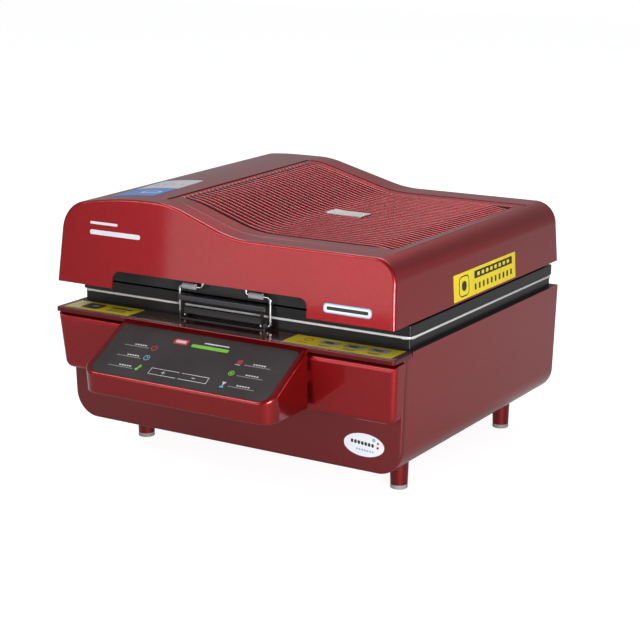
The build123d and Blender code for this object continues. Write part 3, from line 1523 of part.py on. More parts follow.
pin_places = ((-7, 2), (7, 2), (0, -2))
pin_blade = (2.0, 4.0)
pin_length = 17.0
pin_sink = 1.0                # pins' roots, into the socket's back wall
with BuildPart() as inlet_socket:
    with BuildSketch(Plane.XZ.offset(-(rear_y - inlet_depth))):
        with Locations((inlet_x, inlet_z)):
            RectangleRounded(inlet_width, inlet_height, inlet_corner)
    extrude(amount=-inlet_depth)
    with BuildSketch(Plane.XZ.offset(-rear_y)):
        with Locations((inlet_x, inlet_z)):
            RectangleRounded(inlet_width + 2 * inlet_flange_rim[0], inlet_height + 2 * inlet_flange_rim[1],
                             inlet_flange_corner)
    extrude(amount=-inlet_flange)
    with BuildSketch(Plane.XZ.offset(-(rear_y - inlet_depth + inlet_back_wall))):
        with Locations((inlet_x, inlet_z)):
            RectangleRounded(inlet_width - 2 * inlet_walls[0], inlet_height - 2 * inlet_walls[1],
                             inlet_hollow_corner)
    extrude(amount=-(inlet_depth + 5), mode=Mode.SUBTRACT)
    with BuildSketch(Plane.XZ.offset(-(rear_y - inlet_depth + inlet_back_wall - pin_sink))):
        for dx, dz in pin_places:
            with Locations((inlet_x + dx, inlet_z + dz)):
                Rectangle(*pin_blade)
    extrude(amount=-pin_length)
export(inlet_socket.part, "inlet_socket")

# the rocker rests tilted, with its upper half pressed in
key_half = 10.5
key_width = 13.0
key_tilt = 9.0                # degrees each way
key_depth = 9.0
key_pivot_depth = 3.0
key_pin = 1.5
key_pin_reach = 2.0           # pin's ends, past the key's sides
key_pin_gap = 0.2             # past the pin's ends
key_crown = 4.2               # key's valley, outside its pivot
key_brow = 1.0                # key's ends, inside its pivot
key_foot_rise = 1.0
key_foot_half = 4.725
key_end_gap = 1.1
key_side_gap = 0.4
key_back_gap = 2.0
key_pivot_y = rear_y - key_pivot_depth
cavity_half = key_half + key_end_gap
with BuildPart() as switch_housing:
    with BuildSketch(Plane.XZ.offset(-(rear_y - switch_depth))):
        with Locations((switch_x, inlet_z)):
            Rectangle(switch_width, switch_height)
    extrude(amount=-switch_depth)
    with BuildSketch(Plane.XZ.offset(-rear_y)):
        with Locations((switch_x, inlet_z)):
            RectangleRounded(switch_width + 2 * switch_rim[0], switch_height + 2 * switch_rim[1],
                             switch_corner)
    extrude(amount=-switch_flange)
    with BuildSketch(Plane.XZ.offset(-(key_pivot_y - key_depth - key_back_gap))):
        with Locations((switch_x, inlet_z)):
            Rectangle(key_width + 2 * key_side_gap, 2 * cavity_half)
    extrude(amount=-switch_depth, mode=Mode.SUBTRACT)
    with BuildSketch(Plane.YZ.offset(switch_x - key_width / 2 - key_pin_reach - key_pin_gap)):
        with Locations((key_pivot_y, inlet_z)):
            Circle(key_pin + shaft_clearance)
    extrude(amount=key_width + 2 * (key_pin_reach + key_pin_gap), mode=Mode.SUBTRACT)
export(switch_housing.part, "switch_housing")

with BuildPart() as rocker_key:
    key_plane = Plane(origin=(switch_x - key_width / 2, key_pivot_y, inlet_z),
                      x_dir=(0, cos(radians(key_tilt)), sin(radians(key_tilt))),
                      z_dir=(1, 0, 0))
    with BuildSketch(key_plane):
        with BuildLine():
            rise = key_half * tan(radians(key_tilt))
            Polyline(
                (key_crown + rise, -key_half), (key_crown, 0), (key_crown + rise, key_half),
                (-key_brow, key_half), (-key_depth + key_foot_rise, key_foot_half),
                (-key_depth + key_foot_rise, -key_foot_half), (-key_brow, -key_half), close=True,
            )
        make_face()
    extrude(amount=key_width)
    with BuildSketch(Plane.YZ.offset(switch_x - key_width / 2 - key_pin_reach)):
        with Locations((key_pivot_y, inlet_z)):
            Circle(key_pin)
    extrude(amount=key_width + 2 * key_pin_reach)
export(rocker_key.part, "rocker_key")

screw_head = 4.0
screw_head_rise = 2.2
edge_screw_inset = 21.0       # panel screws, inside the base's sides
bracket_screw_half = 14.0
bracket_screw_foot = 12.0     # above the brackets' bottom edges
bracket_screw_top = 20.0      # below their top edges
panel_screw_low = 55.0        # above the base's underside
panel_screw_drop = 20.0       # below its rim
panel_screw_rises = (panel_screw_low, base_height - panel_screw_drop)
centre_screw_margin = 12.0
bracket_screw_drops = (bracket_drop - bracket_rise - bracket_screw_foot, bracket_screw_top - bracket_rise)
rear_screw_places = [
    (side * hinge_x + dx, rim_z - drop)
    for side in (-1, 1) for dx in (-bracket_screw_half, bracket_screw_half)
    for drop in bracket_screw_drops
]
with BuildPart() as rear_screws:
    with BuildSketch(Plane.XZ.offset(-(rear_y + bracket_thickness))):
        with Locations(*rear_screw_places):
            Circle(screw_head)
    extrude(amount=-screw_head_rise)
    with BuildSketch(Plane.XZ.offset(-rear_y)):
        for side in (-1, 1):
            for rise in panel_screw_rises:
                with Locations((side * (base_half_width - edge_screw_inset), shell_bottom_z + rise)):
                    Circle(screw_head)
        with Locations((0, shell_bottom_z + centre_screw_margin), (0, rim_z - centre_screw_margin)):
            Circle(screw_head)
    extrude(amount=-screw_head_rise)
    with BuildSketch(Plane.XZ.offset(-(rear_y + bracket_thickness + screw_head_rise))):
        with Locations(*rear_screw_places):
            RegularPolygon(hex_radius, 6)
    extrude(amount=hex_depth, mode=Mode.SUBTRACT)
export(rear_screws.part, "rear_screws")
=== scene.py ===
"""Table-top vacuum sublimation press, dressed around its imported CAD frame.

Every piece is in metres in the frame's own axes: X across the machine, +Y to the
rear, +Z up, with the origin on the table under the middle of the machine.
"""
import math

import bmesh
import bpy
from mathutils import Matrix, Vector
from mathutils.bvhtree import BVHTree


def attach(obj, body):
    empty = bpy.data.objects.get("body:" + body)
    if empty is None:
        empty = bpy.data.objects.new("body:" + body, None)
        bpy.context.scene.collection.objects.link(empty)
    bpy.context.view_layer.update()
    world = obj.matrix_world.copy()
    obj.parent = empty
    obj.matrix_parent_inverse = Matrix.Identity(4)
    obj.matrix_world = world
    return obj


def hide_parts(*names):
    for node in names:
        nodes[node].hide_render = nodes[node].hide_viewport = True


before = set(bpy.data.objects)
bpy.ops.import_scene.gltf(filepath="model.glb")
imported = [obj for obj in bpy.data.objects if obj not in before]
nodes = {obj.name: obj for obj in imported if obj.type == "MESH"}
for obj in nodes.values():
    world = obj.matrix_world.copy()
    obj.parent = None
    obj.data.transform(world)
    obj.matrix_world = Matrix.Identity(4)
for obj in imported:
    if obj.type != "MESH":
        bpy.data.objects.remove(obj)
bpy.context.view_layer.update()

# ---------------------------------------------------------------- camera
# A short telephoto from the front right, above the lid, as a product is photographed. Its
# place and angles are fitted to the machine's straight edges.
camera_place = Vector((1.24825, -1.95769, 0.77528))
camera_yaw = math.radians(31.8)
camera_pitch = math.radians(14.2)
camera_data = bpy.data.cameras.new("camera")
camera_data.lens = 92.7
camera_data.sensor_width = 36.0
camera = bpy.data.objects.new("camera", camera_data)
bpy.context.scene.collection.objects.link(camera)
camera.location = camera_place
looking = Vector((
    -math.sin(camera_yaw) * math.cos(camera_pitch),
    math.cos(camera_yaw) * math.cos(camera_pitch),
    -math.sin(camera_pitch),
))
camera.rotation_euler = looking.to_track_quat("-Z", "Y").to_euler()
bpy.context.scene.camera = camera
bpy.context.scene.view_settings.view_transform = "Standard"

# ---------------------------------------------------------------- studio
# A white sweep: the floor keeps a faint shadow and looks white to the camera. The soft boxes
# are a wide wall and a high key at the front left, a low strip at the front right, and three
# more beside, above and behind.


def mesh_object(name, shape):
    """Turn a finished bmesh into an object at the origin."""
    mesh = bpy.data.meshes.new(name)
    shape.to_mesh(mesh)
    shape.free()
    piece = bpy.data.objects.new(name, mesh)
    bpy.context.scene.collection.objects.link(piece)
    return piece


floor_half = 9.0
floor_tone = 0.42
floor_lift = 0.88             # glow of the floor as the camera sees it
floor_gloss = 0.18            # and as the paint's gloss sees it
room_colour = (0.96, 0.97, 1.0)
room_strength = 0.27
floor_shape = bmesh.new()
bmesh.ops.create_grid(floor_shape, x_segments=1, y_segments=1, size=floor_half)
floor = mesh_object("floor", floor_shape)
floor_paper = bpy.data.materials.new("floor_paper")
floor_paper.use_nodes = True
tree = floor_paper.node_tree
tree.nodes.clear()
paper = tree.nodes.new("ShaderNodeBsdfDiffuse")
paper.inputs["Color"].default_value = (floor_tone, floor_tone, floor_tone, 1)
lift = tree.nodes.new("ShaderNodeEmission")
lift.inputs["Color"].default_value = (1, 1, 1, 1)
seen = tree.nodes.new("ShaderNodeLightPath")
in_gloss = tree.nodes.new("ShaderNodeMath")
in_gloss.operation = "MULTIPLY"
in_gloss.inputs[1].default_value = floor_gloss
tree.links.new(seen.outputs["Is Glossy Ray"], in_gloss.inputs[0])
lift_strength = tree.nodes.new("ShaderNodeMath")
lift_strength.operation = "MULTIPLY_ADD"
lift_strength.inputs[1].default_value = floor_lift
tree.links.new(seen.outputs["Is Camera Ray"], lift_strength.inputs[0])
tree.links.new(in_gloss.outputs[0], lift_strength.inputs[2])
tree.links.new(lift_strength.outputs[0], lift.inputs["Strength"])
both = tree.nodes.new("ShaderNodeAddShader")
tree.links.new(paper.outputs[0], both.inputs[0])
tree.links.new(lift.outputs[0], both.inputs[1])
surface = tree.nodes.new("ShaderNodeOutputMaterial")
tree.links.new(both.outputs[0], surface.inputs["Surface"])
floor.data.materials.append(floor_paper)

world = bpy.data.worlds.new("studio")
bpy.context.scene.world = world
world.use_nodes = True
tree = world.node_tree
tree.nodes.clear()
room = tree.nodes.new("ShaderNodeBackground")
room.inputs["Color"].default_value = (*room_colour, 1)
room.inputs["Strength"].default_value = room_strength
page = tree.nodes.new("ShaderNodeBackground")
page.inputs["Color"].default_value = (1, 1, 1, 1)
page.inputs["Strength"].default_value = 1.0
seen = tree.nodes.new("ShaderNodeLightPath")
either = tree.nodes.new("ShaderNodeMixShader")
tree.links.new(seen.outputs["Is Camera Ray"], either.inputs[0])
tree.links.new(room.outputs[0], either.inputs[1])
tree.links.new(page.outputs[0], either.inputs[2])
sky = tree.nodes.new("ShaderNodeOutputWorld")
tree.links.new(either.outputs[0], sky.inputs["Surface"])


def soft_lamp(name, place, aim, size, power):
    """A soft box that points at a spot on the machine."""
    data = bpy.data.lights.new(name, "AREA")
    data.shape = "RECTANGLE"
    data.size = size[0]
    data.size_y = size[1]
    data.energy = power
    lamp = bpy.data.objects.new(name, data)
    bpy.context.scene.collection.objects.link(lamp)
    lamp.location = place
    lamp.rotation_euler = (Vector(aim) - Vector(place)).to_track_quat("-Z", "Y").to_euler()


soft_lamp("wall_lamp", (-1.05, -3.3, 0.80), (0, 0, 0.2), (2.3, 1.4), 24)
soft_lamp("key_lamp", (-1.7, -1.9, 2.6), (0, 0, 0.25), (1.8, 1.2), 32)
soft_lamp("strip_lamp", (1.25, -1.08, 0.25), (0.27, -0.2, 0.22), (0.50, 0.40), 22)
soft_lamp("side_lamp", (3.2, 2.4, 0.9), (0, 0, 0.2), (1.8, 1.4), 7)
soft_lamp("top_lamp", (-0.9, 1.5, 2.9), (0, 0, 0.3), (1.6, 1.2), 27)
soft_lamp("rear_lamp", (0.3, 1.9, 3.0), (0, 0.2, 0.1), (2.0, 1.2), 18)

# ---------------------------------------------------------------- base
# The base is a folded steel tub, sprayed with a candy-red metallic paint under clear coat.
# The curved apron under the front, the rear panel and the hinge brackets take a darker, duller copy of
# the same paint, which is painted shade.


def finish(name, colour, roughness, metallic=0.0, **sockets):
    """A material with one Principled shader; returns it with its tree, shader and coordinates."""
    material = bpy.data.materials.new(name)
    material.use_nodes = True
    tree = material.node_tree
    shader = tree.nodes["Principled BSDF"]
    shader.inputs["Base Color"].default_value = (*colour, 1)
    shader.inputs["Roughness"].default_value = roughness
    shader.inputs["Metallic"].default_value = metallic
    for socket, value in sockets.items():
        shader.inputs[socket.replace("_", " ")].default_value = value
    where = tree.nodes.new("ShaderNodeTexCoord").outputs["Object"]
    return material, tree, shader, where


def stretched(tree, where, scale):
    """Object coordinates stretched along the axes."""
    mapping = tree.nodes.new("ShaderNodeMapping")
    mapping.inputs["Scale"].default_value = scale
    tree.links.new(where, mapping.inputs["Vector"])
    return mapping.outputs["Vector"]


def grain(tree, where, scale, detail=3.0, rough=0.55):
    """A noise value, taken from a place."""
    noise = tree.nodes.new("ShaderNodeTexNoise")
    noise.inputs["Scale"].default_value = scale
    noise.inputs["Detail"].default_value = detail
    noise.inputs["Roughness"].default_value = rough
    tree.links.new(where, noise.inputs["Vector"])
    return noise.outputs["Fac"]


def between(tree, value, low, high, from_low=0.3, from_high=0.7):
    """A value spread from low to high."""
    spread = tree.nodes.new("ShaderNodeMapRange")
    spread.inputs["From Min"].default_value = from_low
    spread.inputs["From Max"].default_value = from_high
    spread.inputs["To Min"].default_value = low
    spread.inputs["To Max"].default_value = high
    tree.links.new(value, spread.inputs["Value"])
    return spread.outputs["Result"]


def two_tone(tree, value, first, second):
    """A colour between two, by a value from 0 to 1."""
    mix = tree.nodes.new("ShaderNodeMix")
    mix.data_type = "RGBA"
    mix.inputs["A"].default_value = (*first, 1)
    mix.inputs["B"].default_value = (*second, 1)
    tree.links.new(value, mix.inputs["Factor"])
    return mix.outputs["Result"]


def bumped(tree, value, shader, strength, distance, socket="Normal"):
    """Raise the surface by a value."""
    bump = tree.nodes.new("ShaderNodeBump")
    bump.inputs["Strength"].default_value = strength
    bump.inputs["Distance"].default_value = distance
    tree.links.new(value, bump.inputs["Height"])
    tree.links.new(bump.outputs["Normal"], shader.inputs[socket])


def candy_paint(name, deep, bright, roughness=0.36, metallic=0.85, coat=0.8, flake_scale=1800,
                cloud_scale=9, gloss_spread=0.03, peel_scale=260, peel_strength=0.04,
                peel_height=0.0004):
    """Metallic paint: fine flakes in the colour, a faint orange peel in the clear coat."""
    material, tree, shader, where = finish(
        name, bright, roughness, metallic, Coat_Weight=coat, Coat_Roughness=0.05, Coat_IOR=1.36)
    flakes = tree.nodes.new("ShaderNodeTexVoronoi")
    flakes.inputs["Scale"].default_value = flake_scale
    tree.links.new(where, flakes.inputs["Vector"])
    flake_tone = tree.nodes.new("ShaderNodeSeparateColor")
    tree.links.new(flakes.outputs["Color"], flake_tone.inputs["Color"])
    tree.links.new(two_tone(tree, flake_tone.outputs["Red"], deep, bright), shader.inputs["Base Color"])
    cloud = grain(tree, where, cloud_scale)
    gloss = between(tree, cloud, roughness - gloss_spread, roughness + gloss_spread)
    tree.links.new(gloss, shader.inputs["Roughness"])
    peel = grain(tree, where, peel_scale, detail=1.0)
    bumped(tree, peel, shader, peel_strength, peel_height, "Coat Normal")
    return material


def dress(material, *names):
    """Give CAD nodes a material."""
    for name in names:
        node = nodes[name]
        node.data.materials.clear()
        node.data.materials.append(material)


red_paint = candy_paint("red_paint", (0.25, 0.006, 0.009), (0.40, 0.014, 0.019))
# A darker, less metallic copy of the red paint: painted shade for the apron, the rear panel and the
# hinge brackets.
shaded_red_paint = candy_paint("shaded_red_paint", (0.125, 0.008, 0.010), (0.18, 0.013, 0.016),
                          roughness=0.42, metallic=0.5, coat=0.5)
dress(red_paint, "base_shell", "front_bezel")
dress(shaded_red_paint, "front_apron", "rear_panel", "hinge_bracket_left", "hinge_bracket_right")

# ---------------------------------------------------------------- deck
# The deck is a red strip in front of the frames, with a yellow printed sticker at each end.
# The stickers are thin film, printed with plain fields, bars and blocks.


def satin_skin(name, colour, roughness, metallic=0.0, pebble=900, depth=0.12, vary=0.12,
               cloud_scale=17, gloss_scale=45, gloss_spread=0.05, pebble_height=0.0002, **sockets):
    """A sprayed or moulded skin: a fine pebble, and a faint change of tone and gloss."""
    material, tree, shader, where = finish(name, colour, roughness, metallic, **sockets)
    cloud = between(tree, grain(tree, where, cloud_scale), 0, 1)
    low = tuple(c * (1 - vary) for c in colour)
    high = tuple(min(1.0, c * (1 + vary)) for c in colour)
    tree.links.new(two_tone(tree, cloud, low, high), shader.inputs["Base Color"])
    sheen = grain(tree, where, gloss_scale)
    gloss = between(tree, sheen, roughness - gloss_spread, roughness + gloss_spread)
    tree.links.new(gloss, shader.inputs["Roughness"])
    bumped(tree, grain(tree, where, pebble, detail=2.0), shader, depth, pebble_height)
    return material


surfaces = {}


def surface_of(name):
    """A node's triangles, ready to be met by a ray."""
    if name not in surfaces:
        mesh = nodes[name].data
        surfaces[name] = BVHTree.FromPolygons(
            [vert.co for vert in mesh.vertices], [tuple(face.vertices) for face in mesh.polygons])
    return surfaces[name]


def rounded_sheet(width, height, corner=0.0, strips=(1, 1)):
    """A flat rectangle with rounded corners, cut into strips so that it can follow a curve."""
    shape = bmesh.new()
    bmesh.ops.create_grid(shape, x_segments=1, y_segments=1, size=0.5)
    bmesh.ops.scale(shape, vec=(width, height, 1), verts=shape.verts)
    if corner:
        bmesh.ops.bevel(shape, geom=shape.verts[:], offset=corner, segments=4, profile=0.5,
                        affect="VERTICES", material=-1)
    for axis, size in enumerate((width, height)):
        for k in range(1, strips[axis]):
            across = Vector((0, 0, 0))
            across[axis] = 1
            bmesh.ops.bisect_plane(shape, geom=shape.verts[:] + shape.edges[:] + shape.faces[:],
                                   plane_co=across * (k / strips[axis] - 0.5) * size, plane_no=across)
    return shape


def shifted(shape, x, y, turn=0.0):
    """Move a flat shape in its own plane."""
    bmesh.ops.rotate(shape, cent=(0, 0, 0), matrix=Matrix.Rotation(turn, 3, "Z"), verts=shape.verts)
    bmesh.ops.translate(shape, vec=(x, y, 0), verts=shape.verts)
    return shape


def bar(ink, layer, size, corner, place=(0.0, 0.0), turn=0.0, strips=(1, 1)):
    """A rectangular mark: its ink and layer, its width and height, corner, place and turn."""
    return ink, layer, shifted(rounded_sheet(*size, corner, strips), *place, turn)


def thicken(shape, reach):
    """Grow a flat shape along a vector into a solid."""
    skin = bmesh.ops.extrude_face_region(shape, geom=shape.faces[:])["geom"]
    under = [part for part in skin if isinstance(part, bmesh.types.BMVert)]
    bmesh.ops.translate(shape, vec=reach, verts=under)
    bmesh.ops.recalc_face_normals(shape, faces=shape.faces)


film_top = 0.00022            # height of the film above the surface
film_foot = 0.00004           # height of its underside
print_step = 0.00010          # each layer of ink lies this much above the one before
cast_height = 0.06            # the rays that seat a mark start this far out


def printed(name, node, origin, marks, along, up, body, slot):
    """Lay flat marks on a node as one piece of film. A mark is (ink, layer, flat shape)."""
    along = Vector(along).normalized()
    up = Vector(up).normalized()
    outward = along.cross(up).normalized()
    up = outward.cross(along)
    place = Matrix.Translation(origin) @ Matrix((along, up, outward)).transposed().to_4x4()
    whole = bmesh.new()
    inks = []
    for ink, layer, shape in marks:
        if ink not in inks:
            inks.append(ink)
        bmesh.ops.transform(shape, matrix=place, verts=shape.verts)
        for vert in shape.verts:
            spot = surface_of(node).ray_cast(vert.co + outward * cast_height, -outward)[0]
            vert.co = spot + outward * (film_top + layer * print_step)
        thicken(shape, outward * (film_foot - film_top))
        for face in shape.faces:
            face.material_index = inks.index(ink)
        part = bpy.data.meshes.new("part")
        shape.to_mesh(part)
        shape.free()
        whole.from_mesh(part)
        bpy.data.meshes.remove(part)
    piece = mesh_object(name, whole)
    for ink in inks:
        piece.data.materials.append(ink)
    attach(piece, body)


# Darker than the red paint: this deeper red is a painted reflection of the black frames behind the
# deck.
deck_reflection_paint = candy_paint("deck_reflection_paint", (0.11, 0.002, 0.003), (0.18, 0.004, 0.006), roughness=0.24)
dress(deck_reflection_paint, "deck_plate")
yellow_film = satin_skin("yellow_film", (0.84, 0.66, 0.016), 0.45, pebble=300, depth=0.05, vary=0.05)
black_print = satin_skin("black_print", (0.016, 0.015, 0.014), 0.45, pebble=400, depth=0.05)
silver_print = satin_skin("silver_print", (0.42, 0.43, 0.42), 0.4, metallic=0.2, pebble=400, depth=0.05)
maroon_print = satin_skin("maroon_print", (0.075, 0.018, 0.016), 0.4, pebble=400, depth=0.05)
orange_print = satin_skin("orange_print", (0.80, 0.13, 0.02), 0.42, pebble=400, depth=0.05)
cream_print = satin_skin("cream_print", (0.85, 0.80, 0.50), 0.42, pebble=400, depth=0.05)

deck_top = 0.2174
sticker_y = -0.1858
sticker_depth = 0.0395
sticker_corner = 0.0010
left_sticker_x = -0.2105
left_sticker_width = 0.1130
right_sticker_x = 0.1850
right_sticker_width = 0.1640
flat_print = {"along": (1, 0, 0), "up": (0, 1, 0), "body": "base", "slot": "red_paint"}
left_marks = [
    bar(yellow_film, 0, (left_sticker_width, sticker_depth), sticker_corner),
    bar(cream_print, 1, (0.0200, 0.0300), 0.0020, (-0.0440, 0.0010)),
    bar(maroon_print, 1, (0.0310, 0.0260), 0.0060, (-0.0190, 0.0)),
    bar(silver_print, 2, (0.0120, 0.0060), 0.0028, (-0.0170, 0.0020)),
    bar(black_print, 1, (0.0360, 0.0052), 0.0010, (0.0270, 0.0060)),
    bar(black_print, 1, (0.0300, 0.0022), 0.0006, (0.0270, -0.0030)),
    bar(black_print, 1, (0.0330, 0.0022), 0.0006, (0.0270, -0.0090)),
]
printed("deck_sticker_left", "deck_plate", (left_sticker_x, sticker_y, deck_top),
        marks=left_marks, **flat_print)

badge_place = (-0.0550, 0.0040)
badge_size = 0.0130
badge_hole = 0.0075
field_size = (0.0300, 0.0165)
core_size = (0.0150, 0.0060)
note_size = (0.0110, 0.0014)
caption_line = 0.0013
right_marks = [
    bar(yellow_film, 0, (right_sticker_width, sticker_depth), sticker_corner),
    bar(orange_print, 1, (badge_size, badge_size), 0.0060, badge_place),
    bar(yellow_film, 2, (badge_hole, badge_hole), 0.0032, badge_place),
]
for field_x, core_ink in ((-0.0215, black_print), (0.0155, maroon_print), (0.0525, maroon_print)):
    right_marks += [
        bar(silver_print, 1, field_size, 0.0050, (field_x, 0.0030)),
        bar(core_ink, 2, core_size, 0.0020, (field_x - 0.0020, 0.0040)),
        bar(black_print, 2, note_size, 0.0005, (field_x + 0.0020, -0.0010)),
        bar(black_print, 1, (0.0200, caption_line), 0.0004, (field_x, -0.0105)),
        bar(black_print, 1, (0.0160, caption_line), 0.0004, (field_x, -0.0140)),
    ]
right_marks.append(bar(black_print, 1, (0.0160, caption_line), 0.0004, (-0.0570, -0.0105)))
printed("deck_sticker_right", "deck_plate", (right_sticker_x, sticker_y, deck_top),
        marks=right_marks, **flat_print)

# ---------------------------------------------------------------- console
# The console is a moulded wedge in a deeper, glossier red. Its face is one touch overlay of
# tinted polycarbonate, with printed lines and blocks, six signs and two touch fields.

console_paint = candy_paint("console_paint", (0.20, 0.002, 0.003), (0.32, 0.004, 0.005),
                            roughness=0.30, metallic=0.8, coat=1.0)
dress(console_paint, "console_housing")
overlay_glass = satin_skin("overlay_glass", (0.034, 0.030, 0.031), 0.34, pebble=60, depth=0.04,
                           vary=0.25, Coat_Weight=0.3, Coat_Roughness=0.08)
dress(overlay_glass, "control_panel")

white_ink = satin_skin("white_ink", (0.62, 0.61, 0.61), 0.4, pebble=500, depth=0.04)
grey_ink = satin_skin("grey_ink", (0.24, 0.23, 0.235), 0.4, pebble=500, depth=0.04)
red_ink = satin_skin("red_ink", (0.62, 0.045, 0.055), 0.4, pebble=500, depth=0.04)
blue_ink = satin_skin("blue_ink", (0.20, 0.42, 0.66), 0.4, pebble=500, depth=0.04)
green_ink = satin_skin("green_ink", (0.20, 0.58, 0.060), 0.4, pebble=500, depth=0.04)


def ring(radius, width, sweep=360.0, start=0.0):
    """A flat ring or arc, its width along the radius."""
    shape = bmesh.new()
    inner = shape.verts.new((radius - width / 2, 0, 0))
    outer = shape.verts.new((radius + width / 2, 0, 0))
    edge = shape.edges.new((inner, outer))
    bmesh.ops.rotate(shape, cent=(0, 0, 0), matrix=Matrix.Rotation(math.radians(start), 3, "Z"),
                     verts=shape.verts)
    bmesh.ops.spin(shape, geom=[inner, outer, edge], cent=(0, 0, 0), axis=(0, 0, 1),
                   angle=math.radians(sweep), steps=20, use_merge=sweep == 360.0)
    return shape


def disc(radius, sides=16):
    """A flat disc or regular polygon."""
    shape = bmesh.new()
    bmesh.ops.create_circle(shape, cap_ends=True, segments=sides, radius=radius)
    return shape


panel_tilt = math.radians(29.3)
panel_origin = (0.0, -0.26275, 0.18847)
panel_up = (0, math.cos(panel_tilt), math.sin(panel_tilt))
thick_line = 0.0010
thin_line = 0.0008
under_line = (0.0405, 0.0013)
block_size = (0.0030, 0.0021)
block_count = 5
block_pitch = 0.0042
block_rise = 0.0035
sharp_corner = 0.0003
small_corner = 0.0005
panel_marks = []
# under each row of blocks a grey line: (line's middle, its height, the blocks' middle)
for line_x, line_y, blocks_x in (
        (-0.0994, 0.0087, -0.0945), (-0.0994, -0.0117, -0.0945), (-0.1003, -0.0320, -0.0945),
        (0.0975, 0.0082, 0.0990), (0.0968, -0.0120, 0.0990), (0.0957, -0.0325, 0.0970)):
    panel_marks.append(bar(grey_ink, 0, under_line, small_corner, (line_x, line_y)))
    first_x = blocks_x - block_pitch * (block_count - 1) / 2
    for step in range(block_count):
        panel_marks.append(bar(white_ink, 0, block_size, small_corner,
                               (first_x + step * block_pitch, line_y + block_rise)))

# the signs: power, clock, thermometer, heat, fan and sand glass
power_x, power_y = -0.0707, 0.0105
panel_marks += [
    (red_ink, 0, shifted(ring(0.0042, thick_line, sweep=290, start=125), power_x, power_y)),
    bar(red_ink, 0, (thick_line, 0.0042), 0.0004, (power_x, power_y + 0.0034)),
]
clock_x, clock_y = -0.0712, -0.0086
panel_marks += [
    (blue_ink, 0, shifted(ring(0.0044, thick_line), clock_x, clock_y)),
    bar(blue_ink, 0, (thick_line, 0.0030), 0.0004, (clock_x, clock_y + 0.0014)),
    bar(blue_ink, 0, (0.0026, thick_line), 0.0004, (clock_x + 0.0013, clock_y)),
]
stem_x, stem_y = -0.0728, -0.0286
stem_tilt = math.radians(-14)
tick_size = (0.0020, thin_line)
panel_marks += [
    bar(green_ink, 0, (0.0024, 0.0080), 0.0011, (stem_x + 0.0006, stem_y + 0.0020), stem_tilt),
    (green_ink, 0, shifted(disc(0.0026), stem_x - 0.0009, stem_y - 0.0028)),
    bar(green_ink, 0, tick_size, sharp_corner, (stem_x + 0.0034, stem_y + 0.0032)),
    bar(green_ink, 0, tick_size, sharp_corner, (stem_x + 0.0030, stem_y + 0.0010)),
]
heat_x, heat_y = 0.0676, 0.0120
heat_stroke = 0.0009
wave_pitch = 0.0019
for wave in range(4):
    panel_marks.append(bar(red_ink, 0, (0.0072, heat_stroke), 0.0004,
                           (heat_x, heat_y + 0.0030 - wave * wave_pitch)))
panel_marks += [
    bar(red_ink, 0, (heat_stroke, 0.0062), 0.0004, (heat_x + 0.0036, heat_y + 0.0002)),
    bar(white_ink, 0, (0.0080, heat_stroke), 0.0004, (heat_x - 0.0004, heat_y - 0.0054)),
]
fan_x, fan_y = 0.0673, -0.0095
panel_marks.append((green_ink, 0, shifted(ring(0.0040, thick_line), fan_x, fan_y)))
for blade in range(3):
    panel_marks.append(bar(green_ink, 0, (0.0012, 0.0046), small_corner, (fan_x, fan_y),
                           math.radians(60 * blade)))
glass_x, glass_y = 0.0668, -0.0315
bulb_radius = 0.0030
bulb_rise = 0.0024
cap_rise = 0.0047
cap_size = (0.0066, 0.0009)
panel_marks += [
    (white_ink, 0, shifted(disc(bulb_radius, 3), glass_x, glass_y + bulb_rise, math.radians(180))),
    (blue_ink, 0, shifted(disc(bulb_radius, 3), glass_x, glass_y - bulb_rise)),
    bar(white_ink, 0, cap_size, 0.0004, (glass_x, glass_y + cap_rise)),
    bar(blue_ink, 0, cap_size, 0.0004, (glass_x, glass_y - cap_rise)),
]

# two touch fields, open towards each other, with a plus and a minus
key_top = -0.0246
key_bottom = -0.0354
key_y = (key_top + key_bottom) / 2
for far, near in ((-0.0520, -0.0068), (0.0414, -0.0030)):
    for edge_y in (key_top, key_bottom):
        panel_marks.append(bar(white_ink, 0, (abs(far - near), thin_line), sharp_corner,
                               ((far + near) / 2, edge_y)))
    panel_marks.append(bar(white_ink, 0, (thin_line, key_top - key_bottom + thin_line), sharp_corner,
                           (far, key_y)))
plus_x = -0.0300
minus_x = 0.0190
stroke_length = 0.0056
panel_marks += [
    bar(white_ink, 0, (stroke_length, thick_line), 0.0004, (plus_x, key_y)),
    bar(white_ink, 1, (thick_line, stroke_length), 0.0004, (plus_x, key_y)),
    bar(white_ink, 0, (stroke_length, thick_line), 0.0004, (minus_x, key_y)),
]

# plain blocks along the top
panel_marks += [
    bar(red_ink, 0, (0.0230, 0.0095), 0.0025, (-0.0380, 0.0300)),
    bar(white_ink, 1, (0.0170, 0.0048), 0.0015, (-0.0380, 0.0300)),
    bar(green_ink, 0, (0.0600, 0.0056), 0.0020, (0.0110, 0.0268)),
    bar(white_ink, 0, (0.0400, 0.0022), 0.0009, (0.0180, 0.0344)),
]
printed("panel_print", "control_panel", panel_origin, panel_marks, along=(1, 0, 0), up=panel_up,
        body="base", slot="panel_black")

# ---------------------------------------------------------------- circuit boards
# The control board behind the overlay and the power board in the base are green fibreglass,
# with fine tracks under the solder mask.


